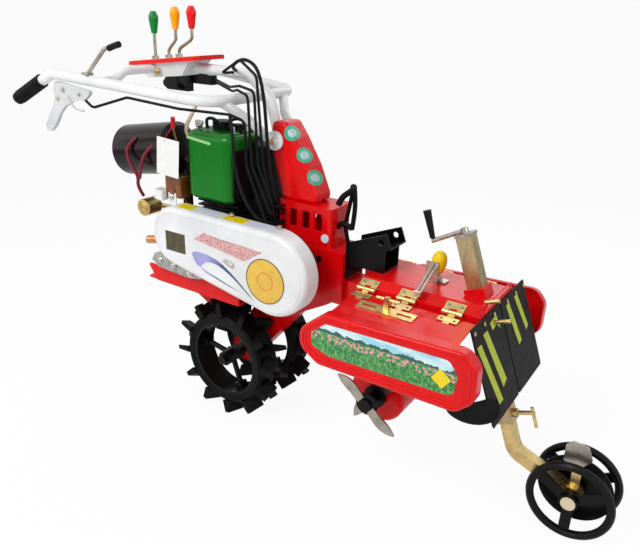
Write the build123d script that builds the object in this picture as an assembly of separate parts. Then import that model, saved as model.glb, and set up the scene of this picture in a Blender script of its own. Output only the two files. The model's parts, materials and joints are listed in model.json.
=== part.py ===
from build123d import *
import math
import os

# Walk-behind furrow ridger: two drive wheels under the engine, a bladed rotor under a
# hood with two hinged wings, and a pair of depth wheels on a crank-lifted post.
# X runs from the handle grips to the depth wheels, Y away from the belt side, Z up.
# Machine places are measured from the ground under the drive axle.

# Drive wheels
LUG_TIP_RADIUS = 200.0
TYRE_RADIUS = 157.0
RIM_RADIUS = 124.0
WHEEL_WIDTH = 100.0
WHEEL_OFFSET = 95.0  # middle of a drive wheel from the machine's middle
LUG_COUNT = 12
LUG_TIP_WIDTH = 15.0
LUG_ROOT_WIDTH = 24.0
LUG_SKEW = 24.0
LUG_CUT = 199.0  # flat of a lug's tip, whose corners reach the tip radius
SPOKE_COUNT = 3
SPOKE_RADIUS = 9.0
HUB_RADIUS = 24.0
DRIVE_SHAFT_RADIUS = 15.0
RUNNING_GAP = 0.3
PART_GAP = 6.0  # least space between turning and fixed pieces

# Transmission and engine bed
CASE_HALF_WIDTH = 34.0
BODY_HALF_WIDTH = 60.0
BODY_FRONT = 395.0
BODY_TOP = 640.0
BED_REAR = -330.0
BED_FRONT = 70.0
BED_CLEARANCE = 12.0
BED_BOTTOM = 2 * LUG_TIP_RADIUS + BED_CLEARANCE
BED_THICK = 8.0
BED_HALF_WIDTH = 135.0
BED_FLANGE = 55.0
SHEET = 3.0

# Engine
CRANK_X = -132.0
CRANK_Z = 617.0
BLOCK_NEAR = -112.0
BLOCK_FAR = 62.0
BLOCK_REAR = -230.0
BLOCK_FRONT = 58.0
BLOCK_TOP = 640.0
TANK_REAR = -124.0
TANK_FRONT = 60.0
TANK_NEAR = -152.0
TANK_FAR = 40.0
TANK_BOTTOM = 740.0
TANK_TOP = 945.0
FIN_REAR = -125.0
SHROUD_RADIUS = 118.0
CLEANER_RADIUS = 82.0
CLEANER_TILT = 9.0

# Belt cover
COVER_FACE = -205.0
COVER_BACK = -141.0
COVER_SMALL = 95.0
COVER_LARGE = 127.0
INPUT_X = 239.0
INPUT_Z = 580.0
WINDOW_X = -126.0
WINDOW_Z = 602.0
WINDOW_WIDTH = 84.0
WINDOW_HEIGHT = 65.0

# Column, handlebar and console
COLUMN_HALF_WIDTH = 42.0
COLUMN_BASE = 760.0
HOUSING_HALF_WIDTH = 56.0
HOUSING_FRONT = 348.0
TUBE_RADIUS = 16.0
HANDLE_PIVOT_X = 141.0
HANDLE_PIVOT_Z = 930.0
HANDLE_HALF_WIDTH = 205.0
GRIP_HALF_WIDTH = 300.0
HANDLE_FRONT = 30.0
HANDLE_FRONT_Z = 1040.0
HANDLE_REAR = -510.0
HANDLE_REAR_Z = 1084.0
GRIP_FALL = (-152.0, 20.0, -84.0)
BRIDGE_X = -340.0
BRIDGE_Z = 1096.0
BRIDGE_RADIUS = 13.0
GRIP_RADIUS = 19.5
GRIP_LENGTH = 130.0
CONSOLE_REAR = -446.0
CONSOLE_FRONT = -136.0
CONSOLE_HALF_WIDTH = 65.0
CONSOLE_Z = 1123.0
CONSOLE_TILT = 6.5

# Hood and wings
HOOD_REAR = 480.0
HOOD_FRONT = 837.0
HOOD_HALF_WIDTH = 117.0
HOOD_FLAT = 85.0
HOOD_TOP = 605.0
HOOD_EDGE_Z = 588.0
HINGE_Y = 125.0
HINGE_Z = 586.0
WING_OUTER = 300.0
WING_PAN = 38.0
WING_RECESS = 24.0
FAR_WING_DROP = 14.0
END_SET = 38.0  # the hood's end plate, ahead of the post's middle
FLAP_LENGTH = 250.0
FLAP_WIDTH = 195.0
FLAP_TEETH = 20
HINGE_PLACES = (512.0, 632.0, 762.0)
HINGE_LENGTH = 54.0
HINGE_BARREL = 5.5
HINGE_PIN = 2.6

# Depth post and wheels
POST_LEAN = 20.0
POST_TOP_X = 734.0
POST_TOP_Z = 756.0
POST_Y = -14.0
SLEEVE_SIZE = 42.0
ARM_SIZE = 34.0
SLEEVE_LENGTH = 526.0
CRANK_END_X = 643.0
CRANK_END_Z = 722.0
DEPTH_X = 1110.0
DEPTH_RADIUS = 114.0
RING_SECTION = 11.0
RING_OFFSET = 50.0
DEPTH_AXLE = 10.0

# Rotor
ROTOR_X = 553.0
ROTOR_Z = 252.0
ROTOR_RADIUS = 118.0
BLADE_Y = 156.0
CHAIN_HALF_WIDTH = 22.0
CHAIN_END_RADIUS = 86.0
CHAIN_DRUM_HALF = 98.0

# Hitch
HITCH_LENGTH = 146.0
HITCH_HALF_WIDTH = 46.0
HITCH_HEIGHT = 46.0
HITCH_WALL = 5.0
HITCH_PIN_RADIUS = 8.5
HITCH_TILT = 22.0
HITCH_Z = 646.0

pieces = {}


def block(x0, x1, y0, y1, z0, z1):
    return Pos((x0 + x1) / 2, (y0 + y1) / 2, (z0 + z1) / 2) * Box(x1 - x0, y1 - y0, z1 - z0)


def rod_x(radius, x0, x1, y, z):
    return Pos((x0 + x1) / 2, y, z) * Rot(0, 90, 0) * Cylinder(radius, abs(x1 - x0))


def rod_y(radius, y0, y1, x, z):
    return Pos(x, (y0 + y1) / 2, z) * Rot(90, 0, 0) * Cylinder(radius, abs(y1 - y0))


def rod_z(radius, z0, z1, x, y):
    return Pos(x, y, (z0 + z1) / 2) * Cylinder(radius, abs(z1 - z0))


def side_slab(outline, y0, y1):
    """An outline drawn in X and Z, as thick as from y0 to y1."""
    return extrude(Plane.XZ.offset(-y1) * outline, y1 - y0)


def end_slab(outline, x0, x1):
    """An outline drawn in Y and Z, as thick as from x0 to x1."""
    return extrude(Plane.YZ.offset(x0) * outline, x1 - x0)


def strap(x0, z0, r0, x1, z1, r1):
    """The outline of two circles and the tangents that join them."""
    ends = (Pos(x0, z0) * Circle(r0)).edges() + (Pos(x1, z1) * Circle(r1)).edges()
    return make_hull(ends)


def rounded(points, radius):
    return make_face(FilletPolyline(*points, radius=radius, close=True))


def bent_bar(points, section_radius, bend_radius):
    path = FilletPolyline(*points, radius=bend_radius) if len(points) > 2 else Line(*points)
    return sweep((path ^ 0) * Circle(section_radius), path)


def lug_slab(width, y0, y1, skew, height):
    half, lean = width / 2, skew / 2
    corners = ((-half - lean, y0), (half - lean, y0), (half + lean, y1), (-half + lean, y1))
    return Pos(0, 0, height) * make_face(Polyline(*corners, close=True))


def drive_tyre(side):
    half = WHEEL_WIDTH / 2
    section = (
        (RIM_RADIUS + 4, -half + 8),
        (TYRE_RADIUS - 8, -half + 2),
        (TYRE_RADIUS, -half + 10),
        (TYRE_RADIUS, half - 10),
        (TYRE_RADIUS - 8, half - 2),
        (RIM_RADIUS + 4, half - 8),
    )
    tyre = revolve(make_face(Polyline(*section, close=True)), Axis.Y)
    pitch = 360 / LUG_COUNT
    lugs = []
    for row, phase in ((-1, -pitch / 4), (1, pitch / 4)):
        lug = loft(
            [
                lug_slab(LUG_ROOT_WIDTH, row * 2, row * half, LUG_SKEW, TYRE_RADIUS - 3),
                lug_slab(LUG_TIP_WIDTH, row * 2, row * half, LUG_SKEW, LUG_CUT),
            ]
        )
        lugs += [Rot(0, 180 + phase + pitch * k, 0) * lug for k in range(LUG_COUNT)]
    tyre = tyre + lugs
    return Pos(0, side * WHEEL_OFFSET, LUG_TIP_RADIUS) * tyre


def drive_wheel(side):
    half = WHEEL_WIDTH / 2
    inner = -side * half  # towards the machine's middle
    section = (
        (RIM_RADIUS - 4, -half + 8),
        (RIM_RADIUS + 4, -half + 8),
        (RIM_RADIUS + 4, half - 8),
        (RIM_RADIUS - 4, half - 8),
    )
    rim = revolve(make_face(Polyline(*section, close=True)), Axis.Y)
    hub = rod_y(HUB_RADIUS, -half + 10, half - 10, 0, 0)
    spoke = rod_z(SPOKE_RADIUS, HUB_RADIUS - 4, RIM_RADIUS - 2, 0, 0)
    clamp = block(-14, 14, -16, 16, RIM_RADIUS - 26, RIM_RADIUS - 3)
    spokes = [Rot(0, 40 + 360 / SPOKE_COUNT * k, 0) * (spoke + clamp) for k in range(SPOKE_COUNT)]
    shaft_end = CASE_HALF_WIDTH - 30
    shaft = rod_y(DRIVE_SHAFT_RADIUS, side * shaft_end - side * WHEEL_OFFSET, side * (half + 4), 0, 0)
    return Pos(0, side * WHEEL_OFFSET, LUG_TIP_RADIUS) * (rim + hub + spokes + shaft)


def transmission():
    leg = side_slab(strap(0, LUG_TIP_RADIUS, 46, 165, 430, 70), -CASE_HALF_WIDTH, CASE_HALF_WIDTH)
    body = side_slab(strap(175, 475, 90, 300, 545, 90), -BODY_HALF_WIDTH, BODY_HALF_WIDTH)
    top = block(165, BODY_FRONT, -BODY_HALF_WIDTH, BODY_HALF_WIDTH, 480, BODY_TOP)
    seat = block(BED_FRONT, 140, -BODY_HALF_WIDTH, BODY_HALF_WIDTH, BED_BOTTOM, 500)
    inlet = rod_y(38, COVER_BACK + SHEET, -BODY_HALF_WIDTH + 2, INPUT_X, INPUT_Z)
    case = leg + body + top + seat + inlet
    return case - rod_y(DRIVE_SHAFT_RADIUS + RUNNING_GAP, -80, 80, 0, LUG_TIP_RADIUS)


def engine_bed():
    floor_plate = block(BED_REAR, BED_FRONT, -BED_HALF_WIDTH, BED_HALF_WIDTH, BED_BOTTOM, BED_BOTTOM + BED_THICK)
    flange = rounded(
        (
            (BED_REAR + 40, BED_BOTTOM),
            (BED_FRONT, BED_BOTTOM),
            (BED_FRONT, BED_BOTTOM + BED_FLANGE),
            (BED_REAR, BED_BOTTOM + BED_FLANGE),
        ),
        6,
    )
    flanges = [
        side_slab(flange, BED_HALF_WIDTH - 2, BED_HALF_WIDTH + 4),
        side_slab(flange, -BED_HALF_WIDTH - 4, -BED_HALF_WIDTH + 2),
    ]
    return floor_plate + flanges


def engine_block():
    case = block(BLOCK_REAR, BLOCK_FRONT, BLOCK_NEAR, BLOCK_FAR, BED_BOTTOM + BED_THICK, BLOCK_TOP)
    case = fillet(case.edges().filter_by(Axis.Z), 22)
    outlet = rod_y(34, COVER_BACK + SHEET, BLOCK_NEAR + 2, CRANK_X, CRANK_Z - 20)
    return case + outlet


def engine_cylinder():
    barrel = rod_z(62, BLOCK_TOP, TANK_BOTTOM, -45, -28)
    fins = [block(FIN_REAR, 35, -98, 42, z, z + 5) for z in (652, 668, 684, 700, 716, 732)]
    return barrel + fins


def fuel_tank():
    tank = block(TANK_REAR, TANK_FRONT, TANK_NEAR, TANK_FAR, TANK_BOTTOM, TANK_TOP)
    tank = fillet(tank.edges().filter_by(Axis.Z), 38)
    tank = fillet(tank.faces().sort_by(Axis.Z)[-1].edges(), 24)
    return chamfer(tank.faces().sort_by(Axis.Z)[0].edges(), 10)


def fan_shroud():
    drum = rod_y(SHROUD_RADIUS, BLOCK_FAR, 122, CRANK_X + 22, CRANK_Z)
    drum = fillet(drum.faces().sort_by(Axis.Y)[-1].edges(), 16)
    starter = rod_y(78, 120, 142, CRANK_X + 22, CRANK_Z)
    duct = block(-130, 20, BLOCK_FAR, 112, 660, TANK_BOTTOM - 4)
    return drum + starter + duct


def air_cleaner():
    drum = Pos(-326, -80, 848) * Rot(0, 90 - CLEANER_TILT, 0) * Cylinder(CLEANER_RADIUS, 246)
    drum = chamfer(drum.edges(), 12)
    pipe = bent_bar(((-215, -80, 830), (-165, -80, 830), (-165, -80, 739)), 17, 26)
    strut = block(BLOCK_REAR + 2, BLOCK_REAR + 18, -60, -30, BLOCK_TOP, 840)
    return drum + pipe + strut


def belt_outline(shrink):
    return strap(CRANK_X, CRANK_Z, COVER_SMALL - shrink, INPUT_X, INPUT_Z, COVER_LARGE - shrink)


def belt_cover():
    pan = side_slab(belt_outline(0), COVER_FACE, COVER_BACK)
    front = pan.faces().sort_by(Axis.Y)[0]
    pan = fillet(front.edges(), 16)
    hollow = side_slab(belt_outline(SHEET), COVER_FACE + SHEET, COVER_BACK)
    hollow = fillet(hollow.faces().sort_by(Axis.Y)[0].edges(), 13)
    window = block(
        WINDOW_X - WINDOW_WIDTH / 2,
        WINDOW_X + WINDOW_WIDTH / 2,
        COVER_FACE - 1,
        COVER_FACE + 2 * SHEET,
        WINDOW_Z - WINDOW_HEIGHT / 2,
        WINDOW_Z + WINDOW_HEIGHT / 2,
    )
    return pan - hollow - window


def cover_window():
    return block(
        WINDOW_X - WINDOW_WIDTH / 2,
        WINDOW_X + WINDOW_WIDTH / 2,
        COVER_FACE + SHEET,
        COVER_FACE + 2 * SHEET,
        WINDOW_Z - WINDOW_HEIGHT / 2,
        WINDOW_Z + WINDOW_HEIGHT / 2,
    )


def column_cover():
    outline = rounded(
        ((160, COLUMN_BASE), (119, 915), (122, 984), (172, 985), (204, 942), (252, 864), (285, 788), (289, COLUMN_BASE)),
        16,
    )
    shell = side_slab(outline, -COLUMN_HALF_WIDTH, COLUMN_HALF_WIDTH)
    sides = shell.faces().filter_by(Axis.Y).edges().filter_by(lambda edge: edge.bounding_box().max.Z > COLUMN_BASE + 1)
    shell = fillet(sides, 13)
    return shell - rod_y(8, -80, 80, HANDLE_PIVOT_X, HANDLE_PIVOT_Z)


def shift_housing():
    outer = block(160, HOUSING_FRONT, -HOUSING_HALF_WIDTH, HOUSING_HALF_WIDTH, BODY_TOP, COLUMN_BASE)
    outer = fillet(outer.edges().filter_by(Axis.Z), 14)
    inner = block(166, HOUSING_FRONT - 6, -HOUSING_HALF_WIDTH + 6, HOUSING_HALF_WIDTH - 6, BODY_TOP, COLUMN_BASE - 6)
    slots = [Pos(x, 0, 715) * Box(26, 200, 52) for x in (215, 260, 305)]
    return outer - inner - slots


def hitch_frame():
    """Where the hitch channel leaves the body, with local X along the channel."""
    return Pos(BODY_FRONT, 0, HITCH_Z) * Rot(0, -HITCH_TILT, 0)


def hitch_bracket():
    wall, half = HITCH_WALL, HITCH_HALF_WIDTH
    channel = block(-20, HITCH_LENGTH, -half, half, -HITCH_HEIGHT / 2, HITCH_HEIGHT / 2)
    hollow = block(-30, HITCH_LENGTH + 10, -half + wall, half - wall, -HITCH_HEIGHT / 2 + wall, HITCH_HEIGHT)
    pin_hole = rod_y(HITCH_PIN_RADIUS, -2 * half, 2 * half, HITCH_LENGTH - 24, 4)
    channel = hitch_frame() * (channel - hollow - pin_hole)
    channel = channel - block(0, BODY_FRONT, -2 * half, 2 * half, 500, 900)
    flange = block(BODY_FRONT, BODY_FRONT + wall, -half, half, 560, 640)
    legs = [
        block(BODY_FRONT + wall, 520, side * half - wall / 2, side * half + wall / 2, HOOD_TOP, 672)
        for side in (-0.9, 0.9)
    ]
    foot = block(BODY_FRONT + wall, 520, -0.9 * half, 0.9 * half, HOOD_TOP, HOOD_TOP + wall)
    roof = hitch_frame() * block(-200, 400, -200, 200, -HITCH_HEIGHT / 2, 400)
    return channel + flange + (foot + legs - roof)


def chain_case():
    case = side_slab(strap(ROTOR_X, ROTOR_Z, 60, 455, 515, 46), -CHAIN_HALF_WIDTH, CHAIN_HALF_WIDTH)
    drum = rod_y(CHAIN_END_RADIUS, -CHAIN_DRUM_HALF, CHAIN_DRUM_HALF, ROTOR_X, ROTOR_Z)
    case = case + chamfer(drum.edges(), 6)
    neck = block(BODY_FRONT, 462, -40, 40, 490, 552)
    rib = block(440, 560, -5, 5, 520, HOOD_TOP - SHEET)
    return case + neck + rib - rod_y(16 + RUNNING_GAP, -100, 100, ROTOR_X, ROTOR_Z)


def tiller_hood():
    skin = (
        (-HOOD_HALF_WIDTH, 545),
        (-HOOD_HALF_WIDTH, HOOD_EDGE_Z),
        (-HOOD_FLAT, HOOD_TOP),
        (HOOD_FLAT, HOOD_TOP),
        (HOOD_HALF_WIDTH, HOOD_EDGE_Z),
        (HOOD_HALF_WIDTH, 545),
    )
    inner = (
        (HOOD_HALF_WIDTH - SHEET, 545),
        (HOOD_HALF_WIDTH - SHEET, HOOD_EDGE_Z - SHEET + 1),
        (HOOD_FLAT - 1, HOOD_TOP - SHEET),
        (-HOOD_FLAT + 1, HOOD_TOP - SHEET),
        (-HOOD_HALF_WIDTH + SHEET, HOOD_EDGE_Z - SHEET + 1),
        (-HOOD_HALF_WIDTH + SHEET, 545),
    )
    hood = end_slab(make_face(Polyline(*skin, *inner, close=True)), HOOD_REAR, HOOD_FRONT)
    collar = post_frame() * (Pos(0, 0, -165) * Box(SLEEVE_SIZE + 14, SLEEVE_SIZE + 14, 54))
    end_plate = post_frame() * (Pos(END_SET, -POST_Y, -243) * Box(SHEET, 2 * HOOD_HALF_WIDTH, 140))
    hole = post_frame() * Box(SLEEVE_SIZE, SLEEVE_SIZE, 1200)
    return hood + collar + end_plate - hole


def post_frame():
    """The sleeve's top, with local Z up along the post."""
    return Pos(POST_TOP_X, POST_Y, POST_TOP_Z) * Rot(0, -POST_LEAN, 0)


def wing_outline(shrink):
    corners = ((470, 417), (858, 420), (903, 462), (900, 545), (868, 580), (486, 568), (412, 508), (412, 455))
    face = rounded(corners, 42)
    return offset(face, -shrink) if shrink else face


def wing():
    """The wing on the belt side; the far one is its mirror image."""
    pan = side_slab(wing_outline(0), -WING_OUTER, -WING_OUTER + WING_PAN)
    pan = fillet(pan.faces().sort_by(Axis.Y)[0].edges(), 8)
    pan = pan - side_slab(wing_outline(SHEET), -WING_OUTER + SHEET, -WING_OUTER + WING_PAN)
    pan = pan - side_slab(wing_outline(WING_RECESS), -WING_OUTER - 1, -WING_OUTER + SHEET / 2)
    inner = WING_OUTER - WING_PAN
    section = ((-inner - 3, 560), (-inner - 3, 563), (-HINGE_Y - 8, 576), (-HINGE_Y - 8, 573))
    top = end_slab(make_face(Polyline(*section, close=True)), 486, HOOD_FRONT - 9)
    return pan + top


def lowered(piece):
    """A piece of the far wing, which hangs lower on its hinge than the near one."""
    axis = Axis((0, HINGE_Y, HINGE_Z), (1, 0, 0))
    return piece.rotate(axis, -FAR_WING_DROP)


HOOD_LEAF = ((-126, 588), (-117, 588.2), (-95, 599.7), (-95, 602.2), (-118, 590.6), (-126, 590.6))
WING_LEAF = ((-125, 584.5), (-125, 581.2), (-134, 576), (-170, 572.4), (-170, 574.8), (-137, 578.2))


def hinge_knuckles(leaf_section, middle):
    """One row of hinges: the middle knuckles, or the two outer ones with the pin."""
    row = []
    third = HINGE_LENGTH / 3
    for x in HINGE_PLACES:
        spans = ((-third / 2, third / 2),) if middle else ((-1.5 * third, -third / 2 - 0.3), (third / 2 + 0.3, 1.5 * third))
        for x0, x1 in spans:
            knuckle = rod_x(HINGE_BARREL, x + x0, x + x1, -HINGE_Y, HINGE_Z)
            leaf = end_slab(make_face(Polyline(*leaf_section, close=True)), x + x0, x + x1)
            knuckle = knuckle + leaf
            if middle:
                knuckle = knuckle - rod_x(HINGE_PIN + RUNNING_GAP, x - 100, x + 100, -HINGE_Y, HINGE_Z)
            row.append(knuckle)
        if not middle:
            row[-1] = row[-2] + row[-1] + rod_x(HINGE_PIN, x - 1.5 * third, x + 1.5 * third, -HINGE_Y, HINGE_Z)
            del row[-2]
    return row


def post_sleeve():
    outer = Pos(0, 0, -SLEEVE_LENGTH / 2) * Box(SLEEVE_SIZE, SLEEVE_SIZE, SLEEVE_LENGTH)
    bore = Box(ARM_SIZE + 2 * RUNNING_GAP, ARM_SIZE + 2 * RUNNING_GAP, 3 * SLEEVE_LENGTH)
    return post_frame() * (outer - bore)


def depth_arm():
    lean = math.radians(POST_LEAN)
    start, elbow = 260, 612
    top = (POST_TOP_X + start * math.sin(lean), POST_Y, POST_TOP_Z - start * math.cos(lean))
    knee = (POST_TOP_X + elbow * math.sin(lean), POST_Y, POST_TOP_Z - elbow * math.cos(lean))
    heel = (DEPTH_X - 8, POST_Y, DEPTH_RADIUS + 4)
    path = FilletPolyline(top, knee, heel, radius=45)
    arm = sweep((path ^ 0) * Rectangle(ARM_SIZE, ARM_SIZE), path)
    boss = rod_y(25, POST_Y - ARM_SIZE / 2, POST_Y + ARM_SIZE / 2, DEPTH_X, DEPTH_RADIUS)
    strap_plate = block(DEPTH_X - 12, DEPTH_X + 12, POST_Y - 4, POST_Y + 4, DEPTH_RADIUS + 10, DEPTH_RADIUS + 112)
    bore = rod_y(DEPTH_AXLE + RUNNING_GAP, -80, 80, DEPTH_X, DEPTH_RADIUS)
    return arm + boss + strap_plate - bore


def scraper_plate():
    corners = ((-38, 96), (6, 86), (32, 121), (18, 156), (-20, 162), (-38, 144))
    outline = rounded([(DEPTH_X + x, DEPTH_RADIUS + z) for x, z in corners], 4)
    return side_slab(outline, POST_Y - 4 - 4, POST_Y - 4)


def depth_ring(side):
    section = Pos(DEPTH_RADIUS - RING_SECTION, 0) * RegularPolygon(RING_SECTION, 10)
    ring = revolve(section, Axis.Y)
    spoke = block(-14, 14, -3, 3, 12, DEPTH_RADIUS - RING_SECTION)
    wheel = ring + [Rot(0, 60 + 120 * k, 0) * spoke for k in range(3)]
    boss = rod_y(18, -8, 8, 0, 0)
    wheel = wheel + boss - rod_y(DEPTH_AXLE, -20, 20, 0, 0)
    return Pos(DEPTH_X, side * RING_OFFSET, DEPTH_RADIUS) * wheel


def depth_axle():
    near_hub = rod_y(18, -RING_OFFSET + 8, POST_Y - ARM_SIZE / 2 - 2, DEPTH_X, DEPTH_RADIUS)
    far_hub = rod_y(18, POST_Y + ARM_SIZE / 2 + 2, RING_OFFSET - 8, DEPTH_X, DEPTH_RADIUS)
    caps = [rod_y(24, side * (RING_OFFSET + 8), side * (RING_OFFSET + 13), DEPTH_X, DEPTH_RADIUS) for side in (-1, 1)]
    axle = rod_y(DEPTH_AXLE, -RING_OFFSET - 10, RING_OFFSET + 10, DEPTH_X, DEPTH_RADIUS)
    return near_hub + far_hub + axle + caps


def depth_disc():
    low = POST_Y + ARM_SIZE / 2 + PART_GAP
    profile = make_face(Polyline((18, low + 8), (98, low), (98, low + 4), (60, low + 9), (18, low + 12), close=True))
    return Pos(DEPTH_X, 0, DEPTH_RADIUS) * revolve(profile, Axis.Y)


def rotor_shaft():
    shaft = rod_y(16, -BLADE_Y - 10, BLADE_Y + 10, ROTOR_X, ROTOR_Z)
    flanges = [rod_y(34, y - 4, y + 4, ROTOR_X, ROTOR_Z) for y in (-BLADE_Y, -BLADE_Y + 46, BLADE_Y - 46, BLADE_Y)]
    return shaft + flanges


def rotor_blades():
    """Two sickle blades on each flange, whose tips bend away from the case."""
    tip = ROTOR_RADIUS
    edge = Line((20, -15), (54, -20)) + ThreePointArc((54, -20), (88, -16), (tip - 1, 6))
    back = ThreePointArc((tip - 1, 6), (84, 14), (56, 12)) + Line((56, 12), (20, 15))
    sickle = make_face(edge + back + Line((20, 15), (20, -15)))
    blades = []
    for side in (-1, 1):
        for y, phase in ((BLADE_Y, 38), (BLADE_Y - 46, 128)):
            blade = side_slab(sickle, 4, 10) if y == BLADE_Y else side_slab(sickle, -10, -4)
            for turn in (0, 180):
                turned = Rot(0, phase + turn, 0) * blade
                if side < 0:
                    turned = mirror(turned, Plane.XZ)
                blades.append(Pos(ROTOR_X, side * y, ROTOR_Z) * turned)
    return blades


def rubber_flap(side):
    step = FLAP_WIDTH / FLAP_TEETH
    edge = [(0, 0), (0, -FLAP_LENGTH)]
    for k in range(FLAP_TEETH):
        edge += [(step * (k + 0.5), -FLAP_LENGTH - step), (step * (k + 1), -FLAP_LENGTH)]
    edge += [(FLAP_WIDTH, 0)]
    sheet = Pos(0, 3, 0) * extrude(Plane.YZ * make_face(Polyline(*edge, close=True)), 4)
    if side < 0:
        sheet = mirror(sheet, Plane.XZ)
    return post_frame() * (Pos(END_SET + SHEET / 2, -POST_Y, -192) * sheet)


def arm_place(x):
    """The middle of the far arm between its two bends."""
    share = (HANDLE_FRONT - x) / (HANDLE_FRONT - HANDLE_REAR)
    y = HANDLE_HALF_WIDTH + share * (GRIP_HALF_WIDTH - HANDLE_HALF_WIDTH)
    return Vector(x, y, HANDLE_FRONT_Z + share * (HANDLE_REAR_Z - HANDLE_FRONT_Z))


def handle_loop():
    rear = (HANDLE_REAR, GRIP_HALF_WIDTH, HANDLE_REAR_Z)
    front = (HANDLE_FRONT, HANDLE_HALF_WIDTH, HANDLE_FRONT_Z)
    end = tuple(a + b for a, b in zip(rear, GRIP_FALL))
    points = [(x, -y, z) for x, y, z in (end, rear, front)] + [front, rear, end]
    return bent_bar(points, TUBE_RADIUS, (60, 90, 90, 60))


def grip(side):
    back = Vector(GRIP_FALL[0], side * GRIP_FALL[1], GRIP_FALL[2])
    end = Vector(HANDLE_REAR, side * GRIP_HALF_WIDTH, HANDLE_REAR_Z) + back
    sleeve = extrude(Plane(end, z_dir=back * -1) * Circle(GRIP_RADIUS), GRIP_LENGTH - 6)
    cap = extrude(Plane(end, z_dir=back) * Circle(GRIP_RADIUS), 6)
    return sleeve - extrude(Plane(end, z_dir=back * -1) * Circle(TUBE_RADIUS), GRIP_LENGTH) + cap


def handle_supports():
    parts = []
    for side in (-1, 1):
        lug = rod_y(28, side * (COLUMN_HALF_WIDTH + 3), side * (COLUMN_HALF_WIDTH + 11), HANDLE_PIVOT_X, HANDLE_PIVOT_Z)
        tube = bent_bar(
            (
                (HANDLE_PIVOT_X - 6, side * (COLUMN_HALF_WIDTH + 20), HANDLE_PIVOT_Z + 2),
                (76, side * 86, 986),
                (22, side * 150, HANDLE_FRONT_Z),
            ),
            14,
            60,
        )
        parts.append(lug + tube)
    bolt = rod_y(8, -COLUMN_HALF_WIDTH - 18, COLUMN_HALF_WIDTH + 18, HANDLE_PIVOT_X, HANDLE_PIVOT_Z)
    rise = arm_place(BRIDGE_X)
    bridge = (
        (BRIDGE_X, -rise.Y, rise.Z),
        (BRIDGE_X, -rise.Y + 62, rise.Z + 1),
        (BRIDGE_X, -rise.Y + 104, BRIDGE_Z),
        (BRIDGE_X, rise.Y - 104, BRIDGE_Z),
        (BRIDGE_X, rise.Y - 62, rise.Z + 1),
        (BRIDGE_X, rise.Y, rise.Z),
    )
    return parts + [bolt, bent_bar(bridge, BRIDGE_RADIUS, 40)]


def console_tube():
    return bent_bar(((116, 0, 945), (86, 0, 1046), (0, 0, 1104), (-240, 0, 1106)), TUBE_RADIUS, 80)


def clutch_lever():
    """A bent hand lever on a bracket below the near arm."""
    pivot = arm_place(-433)
    x, y, z = pivot.X, -pivot.Y, pivot.Z - 30
    lever = bent_bar(((x + 46, y, z - 30), (x - 8, y, z + 2), (x - 62, y - 6, z - 66), (x - 112, y - 10, z - 138)), 7, 24)
    bracket = block(x - 14, x + 14, y - 5, y + 5, z - 4, z + 26)
    return lever + bracket


def zinc_lever():
    foot = arm_place(-376)
    x, y, z = foot.X, -foot.Y, foot.Z
    stem = bent_bar(((x, y, z + 17), (x + 84, y, z + 92), (x + 144, y, z + 104)), 6, 20)
    clamp = block(x - 14, x + 14, y - 10, y + 10, z + 8, z + 22)
    return stem + clamp


def switch_block():
    """The far arm's switches: a clamp below the arm, a case and a toggle."""
    x = HANDLE_REAR
    y = GRIP_HALF_WIDTH
    z = HANDLE_REAR_Z
    body = block(x + 14, x + 128, y - 38, y - 8, z - 66, z - 16)
    case = block(x - 88, x + 14, y - 40, y - 12, z - 98, z - 36)
    toggle = rod_z(9, z - 36, z + 10, x - 16, y - 30)
    return [body, case + toggle]


CABLES = (  # points of each control cable, from the handlebar down to the gear housing
    ((-379, 276, 1040), (-120, 60, 1050), (20, -60, 1074), (118, -114, 1072), (131, -115, 868), (182, -108, 746), (182, -56.3, 746)),
    ((-379, 282, 1028), (-120, 72, 1036), (24, -74, 1064), (106, -127, 1060), (119, -128, 866), (182, -118, 723), (182, -56.3, 723)),
    ((-40, -16.3, 1105), (-40, -68, 1106), (50, -92, 1150), (118, -103, 1112), (142, -104, 866), (182, -98, 700), (182, -56.3, 700)),
    (
        (-386.7, -286.5, 1017.5),
        (-352, -286.5, 996.9),
        (-240, -253, 1034),
        (-60, -228, 1018),
        (66, -160, 1008),
        (106, -141, 992),
        (110, -141, 866),
        (182, -128, 677),
        (182, -56.3, 677),
    ),
)


def control_cables():
    return [bent_bar(points, 4, 22) for points in CABLES]


def console_frame():
    middle = (CONSOLE_REAR + CONSOLE_FRONT) / 2
    return Pos(middle, 0, CONSOLE_Z) * Rot(0, -CONSOLE_TILT, 0)


def console_plate():
    length = CONSOLE_FRONT - CONSOLE_REAR
    plate = Box(length, 2 * CONSOLE_HALF_WIDTH, 12)
    plate = fillet(plate.edges().filter_by(Axis.Z), 14)
    return console_frame() * plate


def console_box():
    low = Pos(-20, 0, -48) * Rectangle(150, 74)
    high = Pos(-20, 0, -6) * Rectangle(250, 104)
    return console_frame() * loft([low, high])


LEVERS = (  # name, foot x, foot y, knob x, knob y, knob top z
    ("green", -366, -14, -366, -14, 1266),
    ("orange", -320, 0, -286, 0, 1281),
    ("red", -290, 16, -232, 16, 1285),
)


def lever_rod(foot_x, foot_y, knob_x, knob_y, top):
    middle = (CONSOLE_REAR + CONSOLE_FRONT) / 2
    foot = CONSOLE_Z + 9 + (foot_x - middle) * math.tan(math.radians(CONSOLE_TILT))
    boot = console_frame() * (Pos((foot_x - middle) * 1.006, foot_y, 12) * Cylinder(11, 12))
    bends = (
        (foot_x, foot_y, foot),
        (foot_x, foot_y, foot + 24),
        (knob_x, knob_y, foot + 56),
        (knob_x, knob_y, top - 40),
    )
    if abs(knob_x - foot_x) < 12:
        return boot + bent_bar((bends[0], bends[3]), 5, 10)
    return boot + bent_bar(bends, 5, 18)


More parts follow.
